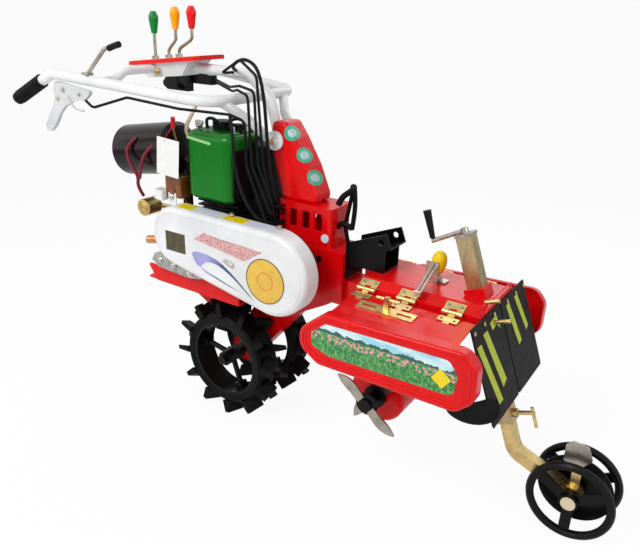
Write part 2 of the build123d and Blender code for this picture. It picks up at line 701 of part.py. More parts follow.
def lever_knob(knob_x, knob_y, top):
    profile = Polyline((0, 0), (8, 0), (15, -14), (15.5, -22), (9, -66), (0, -66), close=True)
    knob = revolve(Plane.XZ * make_face(profile), Axis.Z) - rod_z(5, -70, -40, 0, 0)
    return Pos(knob_x, knob_y, top) * knob


def tank_cap():
    cap = rod_z(30, TANK_TOP, TANK_TOP + 24, -44, -64)
    neck = rod_z(16, TANK_TOP, TANK_TOP + 16, 4, -40)
    return [cap, neck]


def fuel_filter():
    bowl = rod_y(28, -168, -114, -300, 673)
    return bowl + block(-306, FIN_REAR, -116, -94, 666, 675)


def lock_lever():
    low = BODY_TOP
    stem = bent_bar(((378, 0, low + 1.6), (362, 0, low + 62), (384, 0, low + 178)), 6, 20)
    return stem + Pos(384, 0, low + 182) * Sphere(10)


def post_crank():
    """The screw's cap on the post, with its arm."""
    cap = Box(SLEEVE_SIZE + 4, SLEEVE_SIZE + 4, 8, align=(Align.CENTER, Align.CENTER, Align.MIN))
    spindle = rod_z(10, 8, 22, 0, 0)
    boss = post_frame() * (cap + spindle)
    arm = bent_bar(((POST_TOP_X - 7, POST_Y, POST_TOP_Z + 13), (CRANK_END_X, POST_Y, CRANK_END_Z)), 6, 10)
    return boss + arm


def crank_handle():
    lean = Rot(0, -18, 0)
    return Pos(CRANK_END_X, POST_Y, CRANK_END_Z + 8.5) * lean * (Pos(0, 0, 38) * Cone(7, 11, 76))


def clamp_screw():
    """The screw that holds the depth arm in its sleeve."""
    low = 26 - SLEEVE_LENGTH
    half = SLEEVE_SIZE / 2
    screw = rod_x(6, half, half + 58, 0, low)
    nut = rod_x(12, half, half + 12, 0, low)
    bar = rod_z(4.5, low - 42, low + 16, half + 54, 0)
    return post_frame() * (screw + nut + bar)


def wing_lever():
    """The lever on the hood and the two rods that it carries to the wing's side."""
    lever = bent_bar(((670, 0, HOOD_TOP + 3), (665, 0, HOOD_TOP + 18)), 8, 10)
    foot = block(640, 690, -10, 18, HOOD_TOP, HOOD_TOP + 5)
    return lever + foot


def lever_grip():
    return Pos(664, 0, HOOD_TOP + 20.9) * (Pos(0, 0, 36) * Cone(11, 15, 72))


def link_rods():
    """Two thin rods from an eye at the lever down to the wing's edge."""
    top = block(636, 672, -24, -17, HOOD_TOP + 5, HOOD_TOP + 64) + block(636, 672, -24, -10, HOOD_TOP, HOOD_TOP + 5)
    top = top - rod_y(3, -40, 0, 662, HOOD_TOP + 54)
    rods = [
        bent_bar(((x, -21, HOOD_TOP + 56), (x, -122, HINGE_Z + 26)), 4, 10) for x in (656, 667)
    ]
    eye = block(652, 671, -127, -121, HINGE_Z + 20, HINGE_Z + 32)
    return top + rods + eye


def wing_top(y):
    """Height of the wing's top plate over its outer face."""
    inner = WING_OUTER - WING_PAN
    share = (-y - HINGE_Y - 8) / (inner + 3 - HINGE_Y - 8)
    return 576 + share * (563 - 576)


def wing_link():
    """The slotted plate on the wing, with its post and cross pin."""
    near, far = -210, -174
    section = (
        (near, wing_top(near)),
        (near, wing_top(near) + 4),
        (far, wing_top(far) + 4),
        (far, wing_top(far)),
    )
    plate = end_slab(make_face(Polyline(*section, close=True)), 528, 690)
    plate = plate - [Pos(x, (near + far) / 2, 570) * Box(40, 9, 40) for x in (560, 660)]
    post = block(598, 612, -187, -175, wing_top(-181) + 2, 606)
    pin = rod_x(4, 574, 642, -181, 600)
    return plate + post + pin


def build():
    for name, side in (("near", -1), ("far", 1)):
        pieces["tyre_" + name] = drive_tyre(side)
        pieces["wheel_" + name] = drive_wheel(side)
        pieces["flap_" + name] = rubber_flap(side)
        pieces["grip_" + name] = grip(side)
        pieces["depth_ring_" + name] = depth_ring(side)
    pieces["transmission"] = transmission()
    pieces["engine_bed"] = engine_bed()
    pieces["engine_block"] = engine_block()
    pieces["engine_cylinder"] = engine_cylinder()
    pieces["fuel_tank"] = fuel_tank()
    pieces["fan_shroud"] = fan_shroud()
    pieces["air_cleaner"] = air_cleaner()
    pieces["belt_cover"] = belt_cover()
    pieces["belt_backplate"] = side_slab(belt_outline(0), COVER_BACK, COVER_BACK + SHEET)
    pieces["cover_window"] = cover_window()
    pieces["column_cover"] = column_cover()
    pieces["shift_housing"] = shift_housing()
    pieces["hitch_bracket"] = hitch_bracket()
    pieces["chain_case"] = chain_case()
    pieces["tiller_hood"] = tiller_hood()
    near_wing = wing()
    pieces["wing_near"] = near_wing
    pieces["wing_far"] = lowered(mirror(near_wing, Plane.XZ))
    fixed = hinge_knuckles(HOOD_LEAF, False)
    moving = hinge_knuckles(WING_LEAF, True)
    pieces["hinge_wing_near"] = moving
    pieces["hinge_wing_far"] = [lowered(mirror(p, Plane.XZ)) for p in moving]
    pieces["wing_link"] = wing_link()
    pieces["wing_lever"] = wing_lever()
    pieces["lever_grip"] = lever_grip()
    pieces["link_rods"] = link_rods()
    pieces["hinge_hood"] = fixed + [mirror(p, Plane.XZ) for p in fixed]
    pieces["post_sleeve"] = post_sleeve()
    pieces["depth_arm"] = depth_arm()
    pieces["scraper_plate"] = scraper_plate()
    pieces["depth_axle"] = depth_axle()
    pieces["depth_disc"] = depth_disc()
    pieces["rotor_shaft"] = rotor_shaft()
    pieces["rotor_blades"] = rotor_blades()
    loop = handle_loop()
    pieces["handle_loop"] = loop
    pieces["handle_supports"] = [part - loop for part in handle_supports()]
    pieces["console_tube"] = console_tube() - pieces["column_cover"]
    pieces["console_plate"] = console_plate()
    pieces["console_box"] = console_box() - console_tube() - pieces["handle_supports"][-1]
    pieces["clutch_lever"] = clutch_lever() - loop
    pieces["zinc_lever"] = zinc_lever() - loop
    body, case = switch_block()
    pieces["switch_block"] = [body - loop, case - loop]
    pieces["control_cables"] = control_cables()
    pieces["tank_cap"] = tank_cap()
    pieces["fuel_filter"] = fuel_filter()
    pieces["lock_lever"] = lock_lever()
    pieces["post_crank"] = post_crank()
    pieces["crank_handle"] = crank_handle()
    pieces["clamp_screw"] = clamp_screw()
    pieces["lever_rods"] = [lever_rod(*row[1:]) for row in LEVERS]
    for row in LEVERS:
        pieces["knob_" + row[0]] = lever_knob(*row[3:])


def as_shape(piece):
    return Compound(children=[Part() + p for p in piece]) if isinstance(piece, list) else piece


build()
whole = Compound([as_shape(p) for p in pieces.values()]).bounding_box()
SHIFT = (-(whole.min.X + whole.max.X) / 2, -(whole.min.Y + whole.max.Y) / 2, -whole.min.Z)
print("shift", SHIFT, "size", whole.size)
os.makedirs("parts", exist_ok=True)
for name, piece in pieces.items():
    export_step(Pos(*SHIFT) * as_shape(piece), f"parts/{name}.step")
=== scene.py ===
import json
import math

import bpy
from mathutils import Matrix, Vector


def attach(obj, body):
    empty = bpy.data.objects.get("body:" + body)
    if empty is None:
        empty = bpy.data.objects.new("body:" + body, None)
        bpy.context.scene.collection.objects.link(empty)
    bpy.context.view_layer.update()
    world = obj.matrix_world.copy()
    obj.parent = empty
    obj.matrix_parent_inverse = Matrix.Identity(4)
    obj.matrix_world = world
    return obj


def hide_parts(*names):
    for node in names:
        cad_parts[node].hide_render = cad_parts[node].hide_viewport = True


# Looks for a walk-behind furrow ridger. Places are written in millimetres from the
# ground under the drive axle, as on the drawing, and at() brings them to the scene.
# The near side is the one with the belt cover, at minus Y.
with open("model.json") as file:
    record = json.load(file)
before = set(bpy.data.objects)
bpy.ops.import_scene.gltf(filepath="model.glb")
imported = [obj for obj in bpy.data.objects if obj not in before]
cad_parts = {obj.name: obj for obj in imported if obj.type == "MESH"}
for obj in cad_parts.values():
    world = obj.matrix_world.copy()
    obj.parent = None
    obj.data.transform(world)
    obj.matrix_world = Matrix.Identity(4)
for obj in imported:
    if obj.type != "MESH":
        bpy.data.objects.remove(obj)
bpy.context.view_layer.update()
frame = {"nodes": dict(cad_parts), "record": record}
nodes = frame["nodes"]
joints = {row["name"]: row for row in frame["record"]["behaviour"]["joints"]}
axleX = joints["wheel_near_turn"]["pos_m"][0]
perMetre = 1000
nearSide = (0, -1, 0)
farSide = (0, 1, 0)
skyward = (0, 0, 1)
print("frame loaded:", len(nodes), "nodes")


def at(x, y, z):
    return Vector((x / perMetre + axleX, y / perMetre, z / perMetre))


def link(piece):
    bpy.context.scene.collection.objects.link(piece)


viewpoint = {
    "place": (1291.3, -1567.2, 1294.8),
    "azimuth": 32.9,
    "elevation": 21.9,
    "roll": 1.8,
    "lens": 36.84,
    "sensor": 36,
    "shiftX": 0.0009,
    "shiftY": -0.0044,
    "nearest": 0.05,
}


def placeCamera(v):
    turn, dip, roll = (math.radians(v[k]) for k in ("azimuth", "elevation", "roll"))
    level = math.cos(dip)
    ahead = Vector((-math.sin(turn) * level, math.cos(turn) * level, -math.sin(dip)))
    right = Vector((math.cos(turn), math.sin(turn), 0))
    up = right.cross(ahead)
    sideways = math.cos(roll) * right + math.sin(roll) * up
    upright = -math.sin(roll) * right + math.cos(roll) * up
    lensData = bpy.data.cameras.new("photoCamera")
    lensData.lens = v["lens"]
    lensData.sensor_width = v["sensor"]
    lensData.sensor_fit = "HORIZONTAL"
    lensData.shift_x = v["shiftX"]
    lensData.shift_y = v["shiftY"]
    lensData.clip_start = v["nearest"]
    camera = bpy.data.objects.new("photoCamera", lensData)
    link(camera)
    turned = Matrix((sideways, upright, -ahead)).transposed().to_4x4()
    camera.matrix_world = Matrix.Translation(at(*v["place"])) @ turned
    bpy.context.scene.camera = camera


placeCamera(viewpoint)

# name, place, aim, size in metres, watts
lampTable = (
    ("keyLamp", (-300, -2500, 2900), (200, 0, 500), 1.5, 70),
    ("fillLamp", (-2300, -1500, 1600), (0, 0, 500), 2.0, 10),
    ("frontLamp", (3000, -700, 1700), (500, 0, 400), 1.6, 22),
    ("backLamp", (300, 2400, 2400), (300, 0, 500), 2.0, 20),
)
for name, place, aim, size, watts in lampTable:
    lampData = bpy.data.lights.new(name, "AREA")
    lampData.size = size
    lampData.energy = watts
    lamp = bpy.data.objects.new(name, lampData)
    link(lamp)
    lamp.location = at(*place)
    lamp.rotation_euler = (at(*aim) - at(*place)).to_track_quat("-Z", "Y").to_euler()
bpy.context.scene.view_settings.view_transform = "Standard"
print("camera and lamps set")


def newFinish(name):
    finish = bpy.data.materials.new(name)
    finish.use_nodes = True
    tree = finish.node_tree
    place = tree.nodes.new("ShaderNodeTexCoord")
    return finish, tree, tree.nodes["Principled BSDF"], place.outputs["Object"]


def noiseIn(tree, place, scale, detail=3.0, roughness=0.5, stretch=None):
    if stretch:
        mapping = tree.nodes.new("ShaderNodeMapping")
        mapping.inputs["Scale"].default_value = stretch
        tree.links.new(place, mapping.inputs["Vector"])
        place = mapping.outputs["Vector"]
    noise = tree.nodes.new("ShaderNodeTexNoise")
    noise.inputs["Scale"].default_value = scale
    noise.inputs["Detail"].default_value = detail
    noise.inputs["Roughness"].default_value = roughness
    tree.links.new(place, noise.inputs["Vector"])
    return noise.outputs["Fac"]


def rampIn(tree, value, stops):
    ramp = tree.nodes.new("ShaderNodeValToRGB")
    while len(ramp.color_ramp.elements) < len(stops):
        ramp.color_ramp.elements.new(0.5)
    for element, (spot, colour) in zip(ramp.color_ramp.elements, stops):
        element.position = spot
        element.color = (*colour, 1)
    tree.links.new(value, ramp.inputs["Fac"])
    return ramp.outputs["Color"]


def rangeIn(tree, value, low, high, toLow, toHigh):
    span = tree.nodes.new("ShaderNodeMapRange")
    span.inputs["From Min"].default_value = low
    span.inputs["From Max"].default_value = high
    span.inputs["To Min"].default_value = toLow
    span.inputs["To Max"].default_value = toHigh
    tree.links.new(value, span.inputs["Value"])
    return span.outputs["Result"]


def mathIn(tree, operation, first, second):
    step = tree.nodes.new("ShaderNodeMath")
    step.operation = operation
    for socket, value in zip(step.inputs, (first, second)):
        if isinstance(value, float):
            socket.default_value = value
        else:
            tree.links.new(value, socket)
    return step.outputs[0]


def mixIn(tree, factor, first, second):
    mix = tree.nodes.new("ShaderNodeMix")
    mix.data_type = "RGBA"
    tree.links.new(factor, mix.inputs["Factor"])
    for socket, value in ((mix.inputs["A"], first), (mix.inputs["B"], second)):
        if isinstance(value, tuple):
            socket.default_value = (*value, 1)
        else:
            tree.links.new(value, socket)
    return mix.outputs["Result"]


def mixShaders(tree, share, first, second):
    mix = tree.nodes.new("ShaderNodeMixShader")
    for socket, source in zip(mix.inputs, (share, first, second)):
        tree.links.new(source, socket)
    return mix.outputs[0]


def bumpIn(tree, shader, height, strength, distance):
    bump = tree.nodes.new("ShaderNodeBump")
    bump.inputs["Strength"].default_value = strength
    bump.inputs["Distance"].default_value = distance
    tree.links.new(height, bump.inputs["Height"])
    tree.links.new(bump.outputs["Normal"], shader.inputs["Normal"])


def colourIn(tree, shader, factor, first, second):
    tree.links.new(mixIn(tree, factor, first, second), shader.inputs["Base Color"])


def roughIn(tree, shader, value, low, high, least, most):
    tree.links.new(rangeIn(tree, value, low, high, least, most), shader.inputs["Roughness"])


paintLook = {
    "cloud": (7, 5, 0.6),  # scale, detail and roughness of the noise
    "specks": (90, 4, 0.6),
    "peel": (260, 2),
    "shade": 0.82,  # of the colour, in the darker clouds
    "dustFrom": 0.62,
    "dustTo": 0.8,
    "dustMost": 0.5,
    "coatRoughness": 0.1,
    "peelDepth": 0.0006,
}


def paint(name, colour, dusty, roughness=0.3, coat=0.4, peel=0.06, shine=0.3):
    finish, tree, shader, place = newFinish(name)
    cloud = noiseIn(tree, place, *paintLook["cloud"])
    specks = noiseIn(tree, place, *paintLook["specks"])
    darker = tuple(c * paintLook["shade"] for c in colour)
    body = mixIn(tree, rangeIn(tree, cloud, 0.3, 0.7, 0, 1), darker, colour)
    dust = rangeIn(tree, specks, paintLook["dustFrom"], paintLook["dustTo"], 0, paintLook["dustMost"])
    colourIn(tree, shader, dust, body, dusty)
    roughIn(tree, shader, cloud, 0.3, 0.75, roughness * 0.8, roughness * 1.3)
    shader.inputs["Coat Weight"].default_value = coat
    shader.inputs["Coat Roughness"].default_value = paintLook["coatRoughness"]
    shader.inputs["Specular IOR Level"].default_value = shine
    bumpIn(tree, shader, noiseIn(tree, place, *paintLook["peel"]), peel, paintLook["peelDepth"])
    return finish


metalLook = {"cloud": (5, 0.6), "grain": (3, 0.6), "grainTimes": 9, "grainDepth": 0.0005}


def metal(name, colour, second, roughness, scale=30, bump=0.12, stretch=None):
    finish, tree, shader, place = newFinish(name)
    shader.inputs["Metallic"].default_value = 1
    cloud = noiseIn(tree, place, scale, *metalLook["cloud"], stretch)
    grain = noiseIn(tree, place, scale * metalLook["grainTimes"], *metalLook["grain"], stretch)
    colourIn(tree, shader, rangeIn(tree, cloud, 0.35, 0.65, 0, 1), colour, second)
    roughIn(tree, shader, grain, 0.3, 0.7, roughness * 0.8, roughness * 1.35)
    bumpIn(tree, shader, grain, bump, metalLook["grainDepth"])
    return finish


mouldedLook = {"cloud": (25, 4, 0.6), "grainDetail": 3, "grainDepth": 0.0005, "paler": 1.25, "lift": 0.004}


def moulded(name, colour, roughness, grain=0.15, scale=400, shine=0.3):
    finish, tree, shader, place = newFinish(name)
    cloud = noiseIn(tree, place, *mouldedLook["cloud"])
    paler = tuple(min(1, c * mouldedLook["paler"] + mouldedLook["lift"]) for c in colour)
    colourIn(tree, shader, rangeIn(tree, cloud, 0.35, 0.7, 0, 1), colour, paler)
    roughIn(tree, shader, cloud, 0.3, 0.7, roughness * 0.85, roughness * 1.2)
    shader.inputs["Specular IOR Level"].default_value = shine
    height = noiseIn(tree, place, scale, mouldedLook["grainDetail"])
    bumpIn(tree, shader, height, grain, mouldedLook["grainDepth"])
    return finish


def printed(name, colour, roughness=0.4, second=None, scale=60):  # a sticker, card or enamel
    finish, tree, shader, place = newFinish(name)
    other = second or tuple(c * 0.86 for c in colour)
    cloud = noiseIn(tree, place, scale, 4, 0.6)
    colourIn(tree, shader, rangeIn(tree, cloud, 0.35, 0.65, 0, 1), other, colour)
    roughIn(tree, shader, cloud, 0.3, 0.7, roughness * 0.85, roughness * 1.2)
    return finish


finishes = {
    "red_paint": paint("redPaint", (0.8, 0.002, 0.004), (0.62, 0.02, 0.02), 0.26, 0.12, 0.06, 0.18),
    "white_paint": paint("whitePaint", (0.84, 0.85, 0.86), (0.7, 0.7, 0.69), 0.3, 0.2),
    "green_paint": paint("greenPaint", (0.0, 0.17, 0.006), (0.01, 0.22, 0.02), 0.22, 0.2, 0.06, 0.2),
    "black_paint": paint("blackPaint", (0.0025, 0.0025, 0.003), (0.02, 0.016, 0.016), 0.36, 0.05, 0.06, 0.12),
    "wheel_paint": paint("wheelPaint", (0.003, 0.0032, 0.0035), (0.03, 0.03, 0.03), 0.32, 0.05, 0.06, 0.14),
    # the air cleaner's black paint, tinted maroon as a painted reflection of the red parts
    "cleaner_black_red_reflection": paint("cleanerBlackRedReflection", (0.008, 0.001, 0.002), (0.05, 0.01, 0.014), 0.26, 0.1, 0.05, 0.16),
    # white paint greyed down, as painted shade on the clutch lever
    "lever_white_shaded": paint("leverWhiteShaded", (0.66, 0.67, 0.68), (0.4, 0.4, 0.4), 0.34, 0.1),
    "zinc_gold": metal("zincGold", (0.78, 0.58, 0.24), (0.5, 0.38, 0.18), 0.3),
    "bright_zinc": metal("brightZinc", (0.66, 0.64, 0.58), (0.46, 0.44, 0.38), 0.28),
    "post_zinc": metal("postZinc", (0.56, 0.44, 0.24), (0.34, 0.27, 0.15), 0.26, 30, 0.1, (1.6, 1.6, 0.12)),
    "steel": metal("steelGrey", (0.46, 0.43, 0.37), (0.3, 0.28, 0.24), 0.3),
    "copper": metal("copperPipe", (0.7, 0.32, 0.14), (0.5, 0.22, 0.1), 0.35),
    "engine_casting": metal("engineCasting", (0.05, 0.05, 0.05), (0.015, 0.015, 0.015), 0.6, 22, 0.4),
    "cast_alloy": metal("castAlloy", (0.52, 0.52, 0.5), (0.3, 0.3, 0.28), 0.5, 40, 0.35),
    "tyre_rubber": moulded("tyreRubber", (0.0025, 0.0025, 0.003), 0.5, 0.35, 160, 0.08),
    "black_rubber": moulded("blackRubber", (0.0035, 0.0035, 0.004), 0.5, 0.25, 400, 0.12),
    "black_plastic": moulded("blackPlastic", (0.0035, 0.0035, 0.004), 0.4, 0.15, 400, 0.14),
    "white_plastic": moulded("whitePlastic", (0.74, 0.73, 0.68), 0.4, 0.05),
    "hose_maroon": moulded("hoseMaroon", (0.16, 0.006, 0.02), 0.3, 0.05),
    "tube_tan": moulded("tubeTan", (0.62, 0.52, 0.36), 0.35, 0.05),
    "green_knob": moulded("greenKnob", (0.0, 0.2, 0.03), 0.2, 0.03),
    "yellow_grip": moulded("yellowGrip", (0.9, 0.6, 0.0), 0.22, 0.03),
    "orange_knob": moulded("orangeKnob", (0.95, 0.36, 0.0), 0.2, 0.03),
    "red_knob": moulded("redKnob", (0.72, 0.002, 0.006), 0.2, 0.03),
    "tag_card": printed("tagCard", (0.82, 0.82, 0.8), 0.55, (0.76, 0.77, 0.76)),
    "label_yellow": printed("labelYellow", (0.88, 0.68, 0.0), 0.35, (0.85, 0.6, 0.0)),
    "label_blue": printed("labelBlue", (0.6, 0.68, 0.8), 0.35, (0.7, 0.74, 0.82)),
    "badge_gold": printed("badgeGold", (0.78, 0.5, 0.06), 0.32, (0.7, 0.42, 0.05), 25),
    "badge_ring": printed("badgeRing", (0.06, 0.05, 0.02), 0.4),
    "badge_orange": printed("badgeOrange", (0.85, 0.2, 0.02), 0.35),
    "disc_teal": printed("discTeal", (0.02, 0.42, 0.25), 0.35, (0.03, 0.36, 0.22)),
    "disc_pale": printed("discPale", (0.55, 0.62, 0.66), 0.35, (0.36, 0.5, 0.55), 300),
    "brown_bowl": printed("brownBowl", (0.14, 0.035, 0.012), 0.2, (0.26, 0.1, 0.02), 40),
    "flap_green": printed("flapGreen", (0.5, 0.58, 0.03), 0.5, (0.38, 0.46, 0.02)),
    "stripe_green": printed("stripeGreen", (0.28, 0.62, 0.22), 0.3),
    "console_gold": printed("consoleGold", (0.62, 0.42, 0.08), 0.35, (0.72, 0.2, 0.03), 40),
}

windowMesh = {
    "lines": 90,
    "dark": (0.012, 0.011, 0.004),
    "brown": (0.07, 0.055, 0.014),
    "wire": (0.1, 0.085, 0.03),
}


def windowFinish():  # a dark olive mesh behind the window
    finish, tree, shader, place = newFinish("windowMesh")
    lines = tree.nodes.new("ShaderNodeTexWave")
    lines.wave_type = "BANDS"
    lines.bands_direction = "DIAGONAL"
    lines.inputs["Scale"].default_value = windowMesh["lines"]
    tree.links.new(place, lines.inputs["Vector"])
    patches = rangeIn(tree, noiseIn(tree, place, 60, 2), 0.45, 0.6, 0, 1)
    behind = mixIn(tree, patches, windowMesh["dark"], windowMesh["brown"])
    colourIn(tree, shader, rangeIn(tree, lines.outputs["Fac"], 0.55, 0.75, 0, 1), behind, windowMesh["wire"])
    shader.inputs["Roughness"].default_value = 0.5
    return finish


def dress(node, finish):
    mesh = nodes[node].data
    mesh.materials.clear()
    mesh.materials.append(finish)


for row in frame["record"]["subparts"]:
    dress(row["node"], finishes[row["material_slot"]])
# the air cleaner gets black paint with a painted maroon reflection of the red parts
dress("air_cleaner", finishes["cleaner_black_red_reflection"])
dress("post_sleeve", finishes["post_zinc"])
dress("link_rods", finishes["bright_zinc"])
dress("cover_window", windowFinish())
print("nodes dressed")


def deselect():
    bpy.ops.object.select_all(action="DESELECT")


def pick(piece):
    deselect()
    piece.select_set(True)
    bpy.context.view_layer.objects.active = piece


def applyPlace(piece):
    pick(piece)
    bpy.ops.object.transform_apply(location=True, rotation=True, scale=True)


def facing(place, normal, upward=skyward):  # local Z looks along the normal
    out = Vector(normal).normalized()
    side = Vector(upward).cross(out).normalized()
    return Matrix.Translation(at(*place)) @ Matrix((side, out.cross(side), out)).transposed().to_4x4()


def placed(piece, place, normal, upward=skyward):
    piece.matrix_world = facing(place, normal, upward)
    applyPlace(piece)
    return piece


def settle(piece, name, finish, body):
    applyPlace(piece)
    piece.name = name
    piece.data.name = name
    piece.data.materials.clear()
    piece.data.materials.append(finish)
    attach(piece, body)
    return piece


def addModifier(piece, kind, **values):
    pick(piece)
    step = piece.modifiers.new(kind.lower(), kind)
    for key, value in values.items():
        setattr(step, key, value)
    bpy.ops.object.modifier_apply(modifier=step.name)


def easeEdges(piece, width, steps=2, **values):  # millimetres
    addModifier(piece, "BEVEL", width=width / perMetre, segments=steps, limit_method="ANGLE", **values)


def faceOut():  # in edit mode
    bpy.ops.mesh.select_all(action="SELECT")
    bpy.ops.mesh.normals_make_consistent(inside=False)
    bpy.ops.object.mode_set(mode="OBJECT")


def addPlate(width, height, corner, thick, edge=0.25):  # lies in XY with its back at zero
    deselect()
    bpy.ops.mesh.primitive_plane_add(size=1, location=(0, 0, 0))
    piece = bpy.context.active_object
    bpy.ops.object.mode_set(mode="EDIT")
    bpy.ops.transform.resize(value=(width / perMetre, height / perMetre, 1))
    bpy.ops.mesh.bevel(offset=corner / perMetre, segments=5, affect="VERTICES")
    bpy.ops.mesh.extrude_region_move(TRANSFORM_OT_translate={"value": (0, 0, thick / perMetre)})
    faceOut()
    easeEdges(piece, thick * edge)
    return piece


def addPanel(spec):  # a plate from its dictionary: width, height, corner, thickness and edge
    plate = addPlate(*spec["size"])
    return placed(plate, spec["place"], spec.get("normal", nearSide), spec.get("up", skyward))


def fromCurve(curve):
    piece = bpy.data.objects.new(curve.name, curve)
    link(piece)
    pick(piece)
    bpy.ops.object.convert(target="MESH")
    return bpy.context.active_object


def addOutline(points, thick):  # a slab in XY, half of it each way
    curve = bpy.data.curves.new("outline", "CURVE")
    curve.dimensions = "2D"
    curve.fill_mode = "BOTH"
    curve.extrude = thick / 2 / perMetre
    spline = curve.splines.new("POLY")
    spline.points.add(len(points) - 1)
    for row, (x, y) in zip(spline.points, points):
        row.co = (x / perMetre, y / perMetre, 0, 1)
    spline.use_cyclic_u = True
    return fromCurve(curve)


def addProfile(spec):  # a slab seen from the near side, with eased edges
    piece = addOutline(spec["outline"], spec["thick"])
    easeEdges(piece, spec["edge"], spec["edgeSteps"])
    piece.matrix_world = facing((0, spec["y"], 0), nearSide)
    return piece


def addTube(points, radius, sides=3, hoop=False):  # a smooth tube, or a closed hoop of straight steps
    curve = bpy.data.curves.new("tube", "CURVE")
    curve.dimensions = "3D"
    curve.bevel_depth = radius / perMetre
    curve.bevel_resolution = sides
    curve.use_fill_caps = not hoop
    spline = curve.splines.new("POLY" if hoop else "NURBS")
    spline.points.add(len(points) - 1)
    for row, place in zip(spline.points, points):
        row.co = (*at(*place), 1)
    spline.use_cyclic_u = hoop
    if not hoop:
        spline.order_u = 3
        spline.use_endpoint_u = True
        spline.resolution_u = 6
    return fromCurve(curve)


def addHoop(points, radius):
    return addTube(points, radius, 2, True)


def circle(radius, count):
    turns = (2 * math.pi * k / count for k in range(count))
    return [(radius * math.cos(turn), radius * math.sin(turn)) for turn in turns]


def addDisc(radius, thick, rim=0.3, count=40):  # a turned disc with eased edges
    deselect()
    bpy.ops.mesh.primitive_cylinder_add(vertices=count, radius=radius / perMetre, depth=thick / perMetre)
    piece = bpy.context.active_object
    easeEdges(piece, thick * rim, angle_limit=0.7)
    return piece


def joined(pieces):
    pick(pieces[0])
    for piece in pieces[1:]:
        piece.select_set(True)
    bpy.ops.object.join()
    return bpy.context.active_object


def smoothed(piece, degrees=35):
    pick(piece)
    bpy.ops.object.shade_smooth_by_angle(angle=math.radians(degrees))
    return piece


# shares of the head's radius
boltShape = {"recess": 0.16, "recessDepth": 0.1, "washer": 1.35, "washerThick": 0.36}


def addBolt(size, height):
    deselect()
    bpy.ops.mesh.primitive_cylinder_add(vertices=6, radius=size / perMetre, depth=height / perMetre)
    head = bpy.context.active_object
    washerTop = size * boltShape["washerThick"] / 2
    head.location = (0, 0, (height / 2 + washerTop) / perMetre)
    bpy.ops.object.mode_set(mode="EDIT")
    bpy.ops.mesh.select_mode(type="FACE")
    bpy.ops.mesh.select_all(action="DESELECT")
    bpy.ops.object.mode_set(mode="OBJECT")
    for face in head.data.polygons:
        face.select = face.normal.z > 0.9
    bpy.ops.object.mode_set(mode="EDIT")
    bpy.ops.mesh.inset(thickness=size * boltShape["recess"] / perMetre,
                       depth=size * boltShape["recessDepth"] / perMetre)
    bpy.ops.object.mode_set(mode="OBJECT")
    washer = addDisc(size * boltShape["washer"], size * boltShape["washerThick"], 0.3, 20)
    washer.location = (0, 0, washerTop / perMetre)
    applyPlace(head)
    applyPlace(washer)
    return joined([head, washer])


def addBolts(name, spots, size, height, finish, body):
    model = addBolt(size, height)
    copies = []
    for place, normal in spots:
        copy = bpy.data.objects.new("bolt", model.data.copy())
        link(copy)
        upward = farSide if abs(normal[2]) > 0.9 else skyward
        copies.append(placed(copy, place, normal, upward))
    bpy.data.objects.remove(model)
    return settle(joined(copies), name, finish, body)


def rounded(corners, radius, steps=6):
    points = []
    for k, corner in enumerate(corners):
        here = Vector(corner)
        before = (Vector(corners[k - 1]) - here).normalized()
        after = (Vector(corners[(k + 1) % len(corners)]) - here).normalized()
        half = before.angle(after) / 2
        reach = radius / math.tan(half)
        middle = here + (before + after).normalized() * radius / math.sin(half)
        start = here + before * reach - middle
        turn = (here + after * reach - middle).angle_signed(start)
        for s in range(steps + 1):
            swing = turn * s / steps
            points.append((middle.x + start.x * math.cos(swing) - start.y * math.sin(swing),
                           middle.y + start.x * math.sin(swing) + start.y * math.cos(swing)))
    return points


cover = {
    "face": -205,
    "circles": ((-132, 617, 95), (239, 580, 127)),  # x, z and radius of the two ends
    "rimPoints": 120,
    "rimInset": 17,
    "rimRadius": 1.3,
    "rimLift": 0.2,
}


def coverOutline(inset):  # the widest reach of the two circles in each direction
    points = []
    for east, north in circle(1, cover["rimPoints"]):
        x, z, r = max(cover["circles"], key=lambda c: c[0] * east + c[1] * north + c[2])
        points.append((x + (r - inset) * east, z + (r - inset) * north))
    return points


rimY = cover["face"] - cover["rimLift"]
rim = addHoop([(x, rimY, z) for x, z in coverOutline(cover["rimInset"])], cover["rimRadius"])
settle(smoothed(rim), "coverRimLine", finishes["white_paint"], "chassis")

coverLabels = {  # name, x, width, finish
    "plates": (
        ("coverLabelRear", -105, 62, "label_yellow"),
        ("coverPaleRear", -24, 80, "label_blue"),
        ("coverLabelFront", 88, 78, "label_yellow"),
        ("coverPaleFront", 186, 92, "label_blue"),
    ),
    "height": 40,
    "corner": 3,
    "thick": 0.5,
    "y": -166,
    "rearX": -131,
    "rearZ": 712,
    "fall": 5 / 371,
    "normal": (0.0134, 0, 0.9999),
}
for name, x, width, finishName in coverLabels["plates"]:
    z = coverLabels["rearZ"] - (x - coverLabels["rearX"]) * coverLabels["fall"]
    label = addPanel({
        "size": (width, coverLabels["height"], coverLabels["corner"], coverLabels["thick"]),
        "place": (x, coverLabels["y"], z),
        "normal": coverLabels["normal"],
        "up": farSide,
    })
    settle(label, name, finishes[finishName], "chassis")

badge = {
    "centre": (226, 560),
    "radius": 68,
    "thick": 1.2,
    "lift": 0.6,
    "rings": (("badgeRim", 67, 1.3, "badge_ring"), ("badgeRing", 27, 1.1, "badge_orange")),
    "ringPoints": 48,
    "ringLift": 1.2,
}
badgeX, badgeZ = badge["centre"]
badgePlace = (badgeX, cover["face"] - badge["lift"], badgeZ)
disc = placed(addDisc(badge["radius"], badge["thick"]), badgePlace, nearSide)
settle(disc, "coverBadge", finishes["badge_gold"], "chassis")
ringY = cover["face"] - badge["ringLift"]
for name, radius, thick, finishName in badge["rings"]:
    ring = [(badgeX + x, ringY, badgeZ + z) for x, z in circle(radius, badge["ringPoints"])]
    settle(smoothed(addHoop(ring, thick)), name, finishes[finishName], "chassis")

